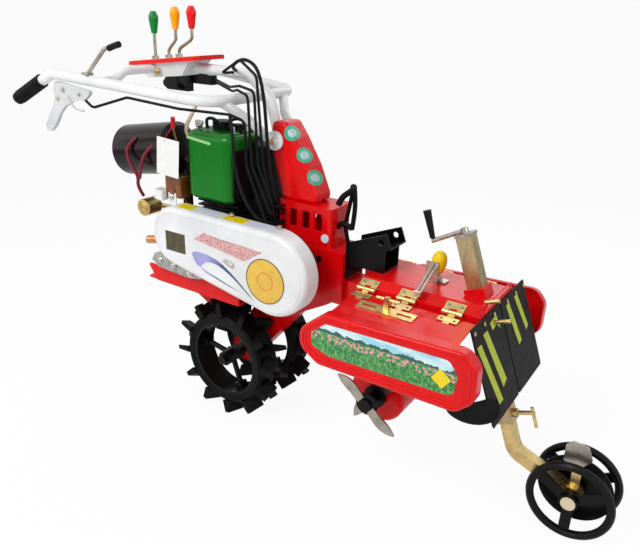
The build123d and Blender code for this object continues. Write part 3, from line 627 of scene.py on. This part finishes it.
coverPrints = {
    "thick": 0.5,
    "lift": 0.35,
    "roughness": 0.4,
    "strip": (
        (-46, 630), (-24, 645), (-6, 658), (60, 652), (140, 650),
        (214, 645), (188, 628), (150, 604), (70, 616), (-10, 626),
    ),
    "stripFlecks": 150,
    "stripColours": (
        (0.36, (0.2, 0.2, 0.22)), (0.46, (0.62, 0.2, 0.24)),
        (0.54, (0.75, 0.5, 0.5)), (0.64, (0.5, 0.28, 0.1)),
    ),
    "swoosh": (
        (-56, 580), (-52, 588), (-36, 592), (2, 592), (36, 585), (68, 573), (98, 555),
        (127, 534), (160, 508), (188, 484), (158, 505), (126, 528), (96, 546), (68, 560),
        (40, 569), (14, 570), (-6, 562), (-22, 548), (-34, 547), (-48, 562),
    ),
    "line": ((-30, 549), (0, 530), (38, 522), (85, 511), (136, 501), (85, 514), (40, 527), (10, 534)),
    "swooshEnds": (-58, 190),
    "swooshColours": (
        (0.0, (0.3, 0.3, 0.62)), (0.25, (0.36, 0.36, 0.66)),
        (0.5, (0.06, 0.08, 0.2)), (1.0, (0.03, 0.05, 0.12)),
    ),
}


def stripFinish():  # a speckled pink and grey band
    finish, tree, shader, place = newFinish("coverStrip")
    flecks = noiseIn(tree, place, coverPrints["stripFlecks"], 5, 0.7)
    tree.links.new(rampIn(tree, flecks, coverPrints["stripColours"]), shader.inputs["Base Color"])
    shader.inputs["Roughness"].default_value = coverPrints["roughness"]
    return finish


def swooshFinish():  # violet at the blunt end, fading to dark blue at the tip
    finish, tree, shader, place = newFinish("coverSwoosh")
    split = tree.nodes.new("ShaderNodeSeparateXYZ")
    tree.links.new(place, split.inputs[0])
    blunt, tip = (at(x, 0, 0).x for x in coverPrints["swooshEnds"])
    share = rangeIn(tree, split.outputs["X"], blunt, tip, 0, 1)
    tree.links.new(rampIn(tree, share, coverPrints["swooshColours"]), shader.inputs["Base Color"])
    shader.inputs["Roughness"].default_value = coverPrints["roughness"]
    return finish


swoosh = swooshFinish()
for name, shape, finish in (
    ("coverStrip", "strip", stripFinish()),
    ("coverSwoosh", "swoosh", swoosh),
    ("coverLine", "line", swoosh),
):
    piece = addOutline(coverPrints[shape], coverPrints["thick"])
    piece.matrix_world = facing((0, cover["face"] - coverPrints["lift"], 0), nearSide)
    settle(piece, name, finish, "chassis")

latch = {
    "disc": (9, 8),  # radius and thickness
    "discPlace": (102, -209, 584),
    "tongue": {"size": (34, 9, 3, 5), "place": (92, -210, 586), "up": (0.4, 0, 1)},
}
knob = placed(addDisc(*latch["disc"]), latch["discPlace"], nearSide)
settle(joined([knob, addPanel(latch["tongue"])]), "coverLatch", finishes["bright_zinc"], "chassis")

lug = {"size": (34, 40, 8, 4), "place": (-182, -150, 722)}
settle(addPanel(lug), "coverLug", finishes["white_paint"], "chassis")

coverBolts = {
    "size": 7,
    "height": 6,
    "spots": (((-182, -154.5, 728), nearSide), ((60, -150, 713), skyward), ((235, -150, 709), skyward)),
}
addBolts("coverBolts", coverBolts["spots"], coverBolts["size"], coverBolts["height"],
         finishes["bright_zinc"], "chassis")
print("belt cover dressed")

wing = {
    "face": -300,
    "floor": -298.5,
    "picture": ((452, 472), (505, 454), (850, 462), (856, 520), (832, 552), (486, 545), (452, 518)),
    "pictureCorner": 20,
    "pictureThick": 0.6,
    "bead": ((470, 431), (853, 434), (889, 468), (887, 540), (862, 566), (488, 554), (426, 503), (426, 460)),
    "beadCorner": 28,
    "beadSteps": 5,
    "beadRadius": 2.2,
    "lift": 0.3,
    "diamond": {"size": (36, 36, 3, 0.5), "place": (817, -299.2, 499), "up": (0.75, 0, 1)},
    "farHinge": (0, 125, 586),
    "farDroop": -14,
}
field = {  # heights in metres
    "flowerRow": (0.496, 0.5, 0.516, 0.52),
    "flowerScale": 110,
    "flowerColour": (0.72, 0.32, 0.36),
    "treeLine": (0.5195, 0.5205),
    "treeColour": (0.02, 0.1, 0.09),
    "skyLine": (0.527, 0.5275),
    "hillHeight": 0.008,
    "sky": ((0.4, (0.3, 0.66, 0.78)), (0.62, (0.75, 0.88, 0.9))),
    "greens": (
        (0.32, (0.006, 0.05, 0.02)), (0.46, (0.02, 0.2, 0.05)),
        (0.58, (0.12, 0.42, 0.1)), (0.7, (0.42, 0.3, 0.16)),
    ),
    "roughness": 0.3,
}


def fieldFinish():  # sky over far trees, and a field with a row of pink flowers
    finish, tree, shader, place = newFinish("fieldPicture")
    split = tree.nodes.new("ShaderNodeSeparateXYZ")
    tree.links.new(place, split.inputs[0])
    height = split.outputs["Z"]
    hills = noiseIn(tree, place, 34, 5, 0.65)
    leaves = noiseIn(tree, place, 150, 6, 0.7, (1, 1, 0.6))
    clouds = noiseIn(tree, place, 16, 3, 0.5, (1, 1, 3))
    flowers = tree.nodes.new("ShaderNodeTexVoronoi")
    flowers.inputs["Scale"].default_value = field["flowerScale"]
    tree.links.new(place, flowers.inputs["Vector"])
    rowLow, rowFull, rowFade, rowTop = field["flowerRow"]
    band = mathIn(tree, "MULTIPLY", rangeIn(tree, height, rowLow, rowFull, 0, 1),
                  rangeIn(tree, height, rowFade, rowTop, 1, 0))
    petals = mathIn(tree, "MULTIPLY", band, rangeIn(tree, flowers.outputs["Distance"], 0.42, 0.5, 1, 0))
    crop = mixIn(tree, petals, rampIn(tree, leaves, field["greens"]), field["flowerColour"])
    rise = field["hillHeight"]
    ridge = mathIn(tree, "ADD", height, rangeIn(tree, hills, 0.3, 0.7, rise, -rise))
    ground = mixIn(tree, rangeIn(tree, height, *field["treeLine"], 0, 1), crop, field["treeColour"])
    above = rangeIn(tree, ridge, *field["skyLine"], 0, 1)
    colourIn(tree, shader, above, ground, rampIn(tree, clouds, field["sky"]))
    shader.inputs["Roughness"].default_value = field["roughness"]
    return finish


fieldPicture = fieldFinish()
picture = addOutline(rounded(wing["picture"], wing["pictureCorner"]), wing["pictureThick"])
picture.matrix_world = facing((0, wing["floor"] - wing["lift"], 0), nearSide)
settle(picture, "wingPicture", fieldPicture, "wing_near")
beadLine = rounded(wing["bead"], wing["beadCorner"], wing["beadSteps"])
bead = smoothed(addHoop([(x, wing["face"] - wing["lift"], z) for x, z in beadLine], wing["beadRadius"]))
settle(bead, "wingBead", finishes["red_paint"], "wing_near")
settle(addPanel(wing["diamond"]), "wingDiamond", finishes["label_yellow"], "wing_near")

farHinge = at(*wing["farHinge"])
droop = Matrix.Rotation(math.radians(wing["farDroop"]), 4, "X")
farTurn = Matrix.Translation(farHinge) @ droop @ Matrix.Translation(-farHinge)
for name, model, finish, slotName in (
    ("farPicture", picture, fieldPicture, "white_paint"),
    ("farBead", bead, finishes["red_paint"], "red_paint"),
):
    copy = bpy.data.objects.new(name, model.data.copy())
    link(copy)
    copy.matrix_world = farTurn @ Matrix.Scale(-1, 4, farSide)
    applyPlace(copy)
    bpy.ops.object.mode_set(mode="EDIT")
    faceOut()
    settle(copy, name, finish, "wing_far")
print("wings dressed")

post = {"foot": (734, -14, 756), "lean": 20}
postLean = math.radians(post["lean"])
postOut = (math.cos(postLean), 0, math.sin(postLean))


def onPost(x, y, z):  # the post's own frame, with Z up along it
    footX, footY, footZ = post["foot"]
    return (footX + x * math.cos(postLean) - z * math.sin(postLean), footY + y,
            footZ + x * math.sin(postLean) + z * math.cos(postLean))


flapBars = {  # corners in the flap's own width and height
    "flapBarOuter": ((-190, -50), (-164, -50), (-110, -222), (-138, -222)),
    "flapBarMiddle": ((-140, -34), (-112, -34), (-62, -186), (-92, -196)),
    "flapBarInner": ((-88, -24), (-40, -18), (-30, -58), (-52, -40), (-80, -46)),
    "flapBarFar": ((36, -22), (60, -20), (92, -140), (68, -146)),
    "flapBarFarEdge": ((104, -20), (128, -18), (160, -122), (140, -130)),
}
flapFace = {
    "middle": 14,  # y of the seam between the two flaps
    "barX": 44.2,
    "barZ": -192,
    "barThick": 0.8,
    "boltX": 40.5,
    "boltZ": -206,
    "bolts": (-186, -120, -50, 50, 120, 186),
    "boltSize": 6,
    "boltHeight": 5,
}
for name, corners in flapBars.items():
    bar = addOutline(corners, flapFace["barThick"])
    bar.matrix_world = facing(onPost(flapFace["barX"], flapFace["middle"], flapFace["barZ"]), postOut)
    settle(bar, name, finishes["flap_green"], "chassis")
flapSpots = [(onPost(flapFace["boltX"], flapFace["middle"] + y, flapFace["boltZ"]), postOut)
             for y in flapFace["bolts"]]
addBolts("flapBolts", flapSpots, flapFace["boltSize"], flapFace["boltHeight"],
         finishes["zinc_gold"], "chassis")
print("flaps dressed")

skirt = {  # a rubber sheet under the near wing's end
    "top": ((826, -262, 424), (866, -258, 428), (905, -240, 440), (928, -206, 452)),
    "low": ((818, -262, 392), (866, -256, 372), (915, -236, 372), (946, -204, 392)),
    "thick": 4,
}
deselect()
bpy.ops.mesh.primitive_grid_add(x_subdivisions=3, y_subdivisions=1, size=1, location=(0, 0, 0))
sheet = bpy.context.active_object
for corner, place in zip(sheet.data.vertices, skirt["low"] + skirt["top"]):
    corner.co = at(*place)
addModifier(sheet, "SUBSURF", levels=2, render_levels=2)
addModifier(sheet, "SOLIDIFY", thickness=skirt["thick"] / perMetre, offset=0)
settle(smoothed(sheet), "wingSkirt", finishes["black_rubber"], "wing_near")

column = {
    "look": (0.504, -0.779, 0.373),
    "discs": ((197, 960), (242, 904), (280, 845)),
    "discY": -42,
    "standOff": 60,
    "thick": 0.4,
    "layers": (  # name, radius, lift, finish
        ("columnDisc", 23, 0.4, "disc_teal"),
        ("columnCentre", 12.65, 1.0, "disc_pale"),
    ),
    "steps": 24,
}


def wrappedDisc(name, x, z, radius, lift, finish):  # a disc that follows the column's round corner
    deselect()
    bpy.ops.mesh.primitive_grid_add(x_subdivisions=column["steps"], y_subdivisions=column["steps"], size=2)
    piece = bpy.context.active_object
    for corner in piece.data.vertices:  # the grid's square is pressed into a circle
        u, v = corner.co.x, corner.co.y
        corner.co.x = u * math.sqrt(1 - v * v / 2) * radius / perMetre
        corner.co.y = v * math.sqrt(1 - u * u / 2) * radius / perMetre
    look = Vector(column["look"])
    piece.matrix_world = facing(tuple(Vector((x, column["discY"], z)) + column["standOff"] * look), look)
    addModifier(piece, "SHRINKWRAP", target=nodes["column_cover"], wrap_method="PROJECT", use_project_z=True,
                use_negative_direction=True, use_positive_direction=False, offset=lift / perMetre)
    applyPlace(piece)
    addModifier(piece, "SOLIDIFY", thickness=column["thick"] / perMetre, offset=1)
    settle(smoothed(piece), name, finish, "chassis")


for k, (x, z) in enumerate(column["discs"]):
    for name, radius, lift, finishName in column["layers"]:
        wrappedDisc(f"{name}{k}", x, z, radius, lift, finishes[finishName])
print("column dressed")

hoses = {
    "radius": 5.5,
    "sides": 4,
    "routes": (
        ((-330, -150, 893), (-352, -168, 870), (-352, -176, 838), (-328, -176, 800),
         (-308, -172, 775), (-322, -168, 740), (-316, -150, 706)),
        ((-230, -140, 902), (-262, -160, 872), (-282, -176, 836), (-292, -176, 800), (-306, -170, 770)),
    ),
    "overflow": (
        (-112, -100, 1016), (-118, -116, 985), (-134, -128, 950), (-138, -118, 915), (-119, -88, 884),
    ),
    "overflowRadius": 6,
}
for k, route in enumerate(hoses["routes"]):
    hose = smoothed(addTube(route, hoses["radius"], hoses["sides"]))
    settle(hose, f"fuelHose{k}", finishes["hose_maroon"], "chassis")
overflow = smoothed(addTube(hoses["overflow"], hoses["overflowRadius"], hoses["sides"]))
settle(overflow, "overflowTube", finishes["tube_tan"], "chassis")

redLever = {
    "stalk": ((-186, -120, 900), (-184, -130, 925), (-182, -134, 945)),
    "stalkRadius": 3,
    "grip": ((-182, -134, 940), (-180, -135, 972)),
    "gripRadius": 7,
}
stalk = addTube(redLever["stalk"], redLever["stalkRadius"])
settle(stalk, "decompressionStalk", finishes["copper"], "chassis")
gripEnd = smoothed(addTube(redLever["grip"], redLever["gripRadius"], 4))
settle(gripEnd, "decompressionGrip", finishes["red_knob"], "chassis")

tag = {
    "card": {
        "size": (92, 114, 2, 0.8),
        "place": (-168, -176, 857),
        "normal": (0, -1, 0.02),
        "up": (0.07, 0, 1),
    },
    "wire": ((-182, -134, 942), (-180, -160, 926), (-176, -178, 912), (-176, -175, 902)),
    "wireRadius": 1,
}
settle(addPanel(tag["card"]), "hangTag", finishes["tag_card"], "chassis")
settle(addTube(tag["wire"], tag["wireRadius"], 2), "tagWire", finishes["red_knob"], "chassis")

bowl = {
    "case": {"size": (66, 70, 6, 52), "place": (-180, -100, 758)},
    "plug": (10, 6),  # radius and thickness
    "plugPlace": (-180, -154, 744),
    "stem": ((-180, -112, 728), (-180, -86, 706), (-180, -80, 672), (-180, -80, 638)),  # down to the block
    "stemRadius": 7,
}
bowlPlug = placed(addDisc(*bowl["plug"]), bowl["plugPlace"], nearSide)
bowlParts = [addPanel(bowl["case"]), bowlPlug, addTube(bowl["stem"], bowl["stemRadius"])]
settle(joined(bowlParts), "fuelBowl", finishes["brown_bowl"], "chassis")

whiteCap = {"size": (36, 34, 5, 34), "place": (-226, -138, 729), "up": (0.1, 0, 1)}
settle(addPanel(whiteCap), "whiteCap", finishes["white_plastic"], "chassis")
# a black plate over the tank's end face at plus X, put there as painted shade on that face
tankShadePlate = {"size": (178, 158, 22, 5, 0.4), "place": (60, -56, 822), "normal": (1, 0, 0)}
settle(addPanel(tankShadePlate), "tankShadePlate", finishes["black_plastic"], "chassis")
tankStripe = {"size": (96, 8, 3.5, 0.6), "place": (-62, -152, 919), "normal": (0, -1, 0.1), "up": (0.1, 0, 1)}
settle(addPanel(tankStripe), "tankStripe", finishes["stripe_green"], "chassis")

filterFace = {
    "centre": (-298, -169, 673),
    "first": 6,
    "step": 6.5,
    "rings": 4,
    "points": 24,
    "wire": 2.2,
    "squash": 0.95,
}
filterX, filterY, filterZ = filterFace["centre"]
rings = []
for k in range(filterFace["rings"]):
    ring = circle(filterFace["first"] + filterFace["step"] * k, filterFace["points"])
    points = [(filterX + x, filterY, filterZ + z * filterFace["squash"]) for x, z in ring]
    rings.append(addHoop(points, filterFace["wire"]))
settle(smoothed(joined(rings)), "filterRings", finishes["zinc_gold"], "chassis")
print("engine pieces made")

cowl = {
    "outline": ((44, 642), (148, 642), (146, 700), (116, 800), (100, 902), (66, 922), (52, 905)),
    "thick": 150,
    "y": 18,
    "edge": 14,
    "edgeSteps": 4,
    "rib": (70, 5, 2, 3),
    "ribPlace": (122, -58, 668),
    "ribStep": 13,
    "ribs": 6,
}
settle(smoothed(addProfile(cowl)), "blowerCowl", finishes["black_plastic"], "chassis")
ribX, ribY, ribZ = cowl["ribPlace"]
ribs = [addPanel({"size": cowl["rib"], "place": (ribX, ribY, ribZ + cowl["ribStep"] * k)})
        for k in range(cowl["ribs"])]
settle(joined(ribs), "cowlRibs", finishes["black_paint"], "chassis")

cables = {
    "radius": 5,
    "routes": {
        "controlCable": (
            ((-40, 15, 1104), (-20, -60, 1120), (60, -84, 1160), (130, -90, 1120),
             (152, -92, 866), (178, -84, 735), (182, -57, 731)),
            ((60, -150, 1004), (84, -168, 960), (88, -168, 860), (120, -160, 760),
             (170, -140, 700), (182, -57, 690)),
        ),
        "tankHose": (
            ((-60, -112, 950), (-62, -120, 976), (-40, -116, 984), (-18, -110, 972), (-10, -100, 950)),
            ((0, -90, 948), (16, -96, 968), (34, -90, 966), (46, -80, 944)),
            ((-20, -60, 968), (10, -70, 984), (36, -50, 972), (48, -30, 945)),
        ),
    },
}
for name, routes in cables["routes"].items():
    for k, route in enumerate(routes):
        cable = smoothed(addTube(route, cables["radius"]))
        settle(cable, f"{name}{k}", finishes["black_rubber"], "chassis")

hinge = {
    "places": (512, 632, 762),
    "length": 54,
    "corner": 2,
    "thick": 1.4,
    "screwReach": 17,
    "screwSize": 3.2,
    "screwHeight": 2,
    "leaves": (  # side, width, y, z, z of the screws, normal, body
        ("Hood", 22, -105.5, 597.6, 599, (0, -0.45, 0.893), "chassis"),
        ("Wing", 24, -150, 576.6, 578, (0, -0.102, 0.995), "wing_near"),
    ),
}
for side, width, y, z, screwZ, normal, body in hinge["leaves"]:
    screws = []
    for k, x in enumerate(hinge["places"]):
        leaf = addPanel({
            "size": (hinge["length"], width, hinge["corner"], hinge["thick"]),
            "place": (x, y, z),
            "normal": normal,
        })
        settle(leaf, f"hingeLeaf{side}{k}", finishes["zinc_gold"], body)
        screws += [((x + reach, y, screwZ), normal) for reach in (-hinge["screwReach"], hinge["screwReach"])]
    addBolts(f"hingeScrews{side}", screws, hinge["screwSize"], hinge["screwHeight"],
             finishes["steel"], body)

columnBolt = {"size": 9, "height": 8, "spots": (((136, -64, 931), nearSide),)}
addBolts("columnBolt", columnBolt["spots"], columnBolt["size"], columnBolt["height"],
         finishes["zinc_gold"], "chassis")

tap = {
    "body": (11, 24),  # radius and height
    "place": (-96, -110, 958),
    "handle": {"size": (30, 12, 4, 8), "place": (-84, -118, 966)},
}
tapBody = placed(addDisc(*tap["body"]), tap["place"], skyward, farSide)
settle(joined([tapBody, addPanel(tap["handle"])]), "fuelTap", finishes["bright_zinc"], "chassis")
print("engine room closed")

clutch = {
    "outline": (
        (-504, 1062), (-350, 1046), (-352, 1034), (-378, 1016), (-432, 1008), (-470, 990),
        (-496, 968), (-528, 926), (-552, 906), (-572, 906), (-578, 920), (-556, 950),
        (-528, 990), (-512, 1014), (-520, 1034),
    ),
    "corner": 4,
    "cornerSteps": 3,
    "y": -291,
    "thick": 12,
    "edge": 3,
    "edgeSteps": 3,
    "latch": ((-446, -299, 1020), (-432, -299, 994), (-402, -299, 984), (-380, -299, 986)),
    "latchRadius": 2.6,
    "screws": tuple(((x, -297, z), nearSide) for x, z in ((-470, 1040), (-398, 1034), (-500, 1012))),
    "screwSize": 6,
    "screwHeight": 4,
}
bladeLine = rounded(clutch["outline"], clutch["corner"], clutch["cornerSteps"])
blade = smoothed(addProfile({**clutch, "outline": bladeLine}))
# the clutch blade's white is greyed down as painted shade
settle(blade, "clutchBlade", finishes["lever_white_shaded"], "chassis")
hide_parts("clutch_lever")
trigger = smoothed(addTube(clutch["latch"], clutch["latchRadius"]))
settle(trigger, "clutchLatch", finishes["bright_zinc"], "chassis")
addBolts("clutchScrews", clutch["screws"], clutch["screwSize"], clutch["screwHeight"],
         finishes["bright_zinc"], "chassis")

sleeve = {"line": ((-272, -276, 1168), (-250, -276, 1176), (-228, -276, 1181)), "radius": 9}
leverSleeve = smoothed(addTube(sleeve["line"], sleeve["radius"], 4))
settle(leverSleeve, "leverSleeve", finishes["black_rubber"], "chassis")

grip = {
    "start": (-510, 300, 1084),  # where the far arm bends into its grip
    "fall": (-152, 20, -84),
    "radius": 19.8,
    "rib": 1.7,
    "ribs": 12,
    "first": 52,
    "step": 10.4,
    "smooth": 60,
}
ribs = []
for side in (-1, 1):
    fallX, fallY, fallZ = grip["fall"]
    startX, startY, startZ = grip["start"]
    fall = Vector((fallX, fallY * side, fallZ)).normalized()
    for k in range(grip["ribs"]):
        deselect()
        bpy.ops.mesh.primitive_torus_add(major_segments=32, minor_segments=6,
                                         major_radius=grip["radius"] / perMetre,
                                         minor_radius=grip["rib"] / perMetre)
        place = Vector((startX, startY * side, startZ)) + fall * (grip["first"] + grip["step"] * k)
        ribs.append(placed(bpy.context.active_object, tuple(place), tuple(fall)))
gripRibs = smoothed(joined(ribs), grip["smooth"])
settle(gripRibs, "gripRibs", finishes["black_rubber"], "chassis")

console = {
    "tilt": 6.5,
    "centre": (-291, 0, 1123),
    "rise": 5.8,
    "top": (298, 120, 12, 1.6),
    "boltSize": 8,
    "boltHeight": 7,
    "bolts": (((-322, -50.5, 1088), nearSide),),
}
consoleTilt = math.radians(console["tilt"])
consoleUp = Vector((-math.sin(consoleTilt), 0, math.cos(consoleTilt)))
topPlace = Vector(console["centre"]) + console["rise"] * consoleUp
top = addPanel({"size": console["top"], "place": tuple(topPlace), "normal": consoleUp, "up": farSide})
settle(top, "consoleTop", finishes["console_gold"], "chassis")
addBolts("consoleBolt", console["bolts"], console["boltSize"], console["boltHeight"],
         finishes["zinc_gold"], "chassis")

switch = {
    "rear": {"size": (66, 62, 12, 26), "place": (-560, 262, 1020)},
    "front": {"size": (56, 74, 14, 22), "place": (-498, 262, 1046), "up": (0.3, 0, 1)},
}
cases = [addPanel(switch["rear"]), addPanel(switch["front"])]
settle(joined(cases), "switchCases", finishes["black_plastic"], "chassis")

pear = {"place": (662, 0, 657), "lean": (0.12, 0, 1), "girth": 21, "half": 38, "swell": 0.16, "smooth": 60}
deselect()
bpy.ops.mesh.primitive_uv_sphere_add(segments=32, ring_count=20, radius=1)
yellowGrip = bpy.context.active_object
for corner in yellowGrip.data.vertices:
    u = corner.co.z
    girth = pear["girth"] * (1 + pear["swell"] * u) / perMetre
    corner.co = (corner.co.x * girth, corner.co.y * girth, pear["half"] * u / perMetre)
smoothed(yellowGrip, pear["smooth"])
yellowGrip.matrix_world = facing(pear["place"], pear["lean"], farSide)
settle(yellowGrip, "yellowGrip", finishes["yellow_grip"], "chassis")
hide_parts("lever_grip")
print("controls made")

lockArm = (  # route and radius of each bar
    (((346, -16, 768), (356, -14, 792), (374, -12, 806), (393, -8, 822)), 9),
    (((392, -8, 824), (397, -8, 790), (396, -8, 740), (390, -8, 700)), 7),
    (((346, -16, 700), (360, -14, 716), (378, -12, 712), (392, -10, 702)), 8),
)
arm = smoothed(joined([addTube(route, radius) for route, radius in lockArm]))
settle(arm, "lockArm", finishes["black_paint"], "chassis")

plugs = {
    "thick": 5,
    "rows": (  # name, place, radius, finish, slot
        ("bodyPlugUpper", (313, -61.5, 607), 10, "black_plastic", "black_plastic"),
        ("bodyPlugLower", (303, -61.5, 516), 10, "black_plastic", "black_plastic"),
        ("housingDisc", (330, -57.5, 672), 13, "label_blue", "white_paint"),
        ("housingPlug", (180, -57.5, 662), 9, "black_plastic", "black_plastic"),
    ),
}
for name, place, radius, finishName, slotName in plugs["rows"]:
    plug = placed(addDisc(radius, plugs["thick"]), place, nearSide)
    settle(plug, name, finishes[finishName], "chassis")

pins = {  # root and length of each pin
    "rows": (((826, -66, 612), 40), ((846, -64, 560), 54)),
    "radius": 5.5,
    "rim": 0.03,
    "sides": 20,
    "sunk": 4,
}
pinPieces = []
for root, length in pins["rows"]:
    middle = Vector(root) + Vector(postOut) * (length / 2 - pins["sunk"])
    pin = addDisc(pins["radius"], length, pins["rim"], pins["sides"])
    pinPieces.append(placed(pin, tuple(middle), postOut))
settle(joined(pinPieces), "hoodPins", finishes["zinc_gold"], "chassis")

foot = {
    "outline": (
        (-282, 498), (-266, 524), (-226, 536), (-160, 520),
        (-84, 506), (-60, 480), (-120, 470), (-250, 478),
    ),
    "thick": 26,
    "y": -151,
    "edge": 4,
    "edgeSteps": 3,
    "bolts": tuple(((x, -164, z), nearSide) for x, z in ((-240, 505), (-180, 500), (-110, 488))),
    "boltSize": 8,
    "boltHeight": 7,
}
settle(addProfile(foot), "engineFoot", finishes["cast_alloy"], "chassis")
addBolts("footBolts", foot["bolts"], foot["boltSize"], foot["boltHeight"],
         finishes["bright_zinc"], "chassis")

drain = {"disc": (13, 60, 0.06, 24), "place": (-252, -170, 575), "normal": (-0.9, -0.3, -0.1)}
drainPlug = placed(addDisc(*drain["disc"]), drain["place"], drain["normal"])
settle(drainPlug, "drainPlug", finishes["copper"], "chassis")

belly = {
    "outline": ((-258, 414), (-206, 352), (-150, 322), (-90, 350), (-30, 386), (56, 414)),
    "thick": 74,
    "y": 0,
    "edge": 10,
    "edgeSteps": 3,
}
settle(smoothed(addProfile(belly)), "bellyPan", finishes["red_paint"], "chassis")

hubCap = {"disc": (19, 4), "x": 1110, "reach": 65, "z": 114}
caps = [placed(addDisc(*hubCap["disc"]), (hubCap["x"], side * hubCap["reach"], hubCap["z"]), (0, side, 0))
        for side in (-1, 1)]
settle(joined(caps), "hubCaps", finishes["tube_tan"], "depth_wheels")
print("small parts made")

# The camera and reflections see a flat pale sky, and the object a weaker light.
backdrop = {
    "shown": (0.957, 0.957, 0.957),
    "light": (1, 1, 1),
    "lightStrength": 0.36,
    "floorSize": 60,
    "floorColour": (0.97, 0.97, 0.97),
    "floorGlow": 0.93,  # the share of the floor that the camera sees as plain white
}
world = bpy.data.worlds.new("studio")
bpy.context.scene.world = world
world.use_nodes = True
sky = world.node_tree
sky.nodes.clear()
skyOut = sky.nodes.new("ShaderNodeOutputWorld")
skyPath = sky.nodes.new("ShaderNodeLightPath")
skyLight = sky.nodes.new("ShaderNodeBackground")
skyLight.inputs["Color"].default_value = (*backdrop["light"], 1)
skyLight.inputs["Strength"].default_value = backdrop["lightStrength"]
skyShown = sky.nodes.new("ShaderNodeBackground")
skyShown.inputs["Color"].default_value = (*backdrop["shown"], 1)
seen = mathIn(sky, "MAXIMUM", skyPath.outputs["Is Camera Ray"], skyPath.outputs["Is Glossy Ray"])
seen = mathIn(sky, "MAXIMUM", seen, skyPath.outputs["Is Transmission Ray"])
sky.links.new(mixShaders(sky, seen, skyLight.outputs[0], skyShown.outputs[0]), skyOut.inputs["Surface"])

deselect()
bpy.ops.mesh.primitive_plane_add(size=backdrop["floorSize"], location=(0, 0, 0))
floor = bpy.context.active_object
floor.name = "floor"
floorFinish, floorTree, floorShader, _ = newFinish("paleFloor")
floorShader.inputs["Base Color"].default_value = (*backdrop["floorColour"], 1)
floorShader.inputs["Roughness"].default_value = 0.85
floorShader.inputs["Specular IOR Level"].default_value = 0.05
floorGlow = floorTree.nodes.new("ShaderNodeEmission")
floorGlow.inputs["Strength"].default_value = 1
floorPath = floorTree.nodes.new("ShaderNodeLightPath")
glowShare = mathIn(floorTree, "MULTIPLY", floorPath.outputs["Is Camera Ray"], backdrop["floorGlow"])
floorShade = mixShaders(floorTree, glowShare, floorShader.outputs[0], floorGlow.outputs[0])
floorTree.links.new(floorShade, floorTree.nodes["Material Output"].inputs["Surface"])
floor.data.materials.append(floorFinish)
print("floor laid")
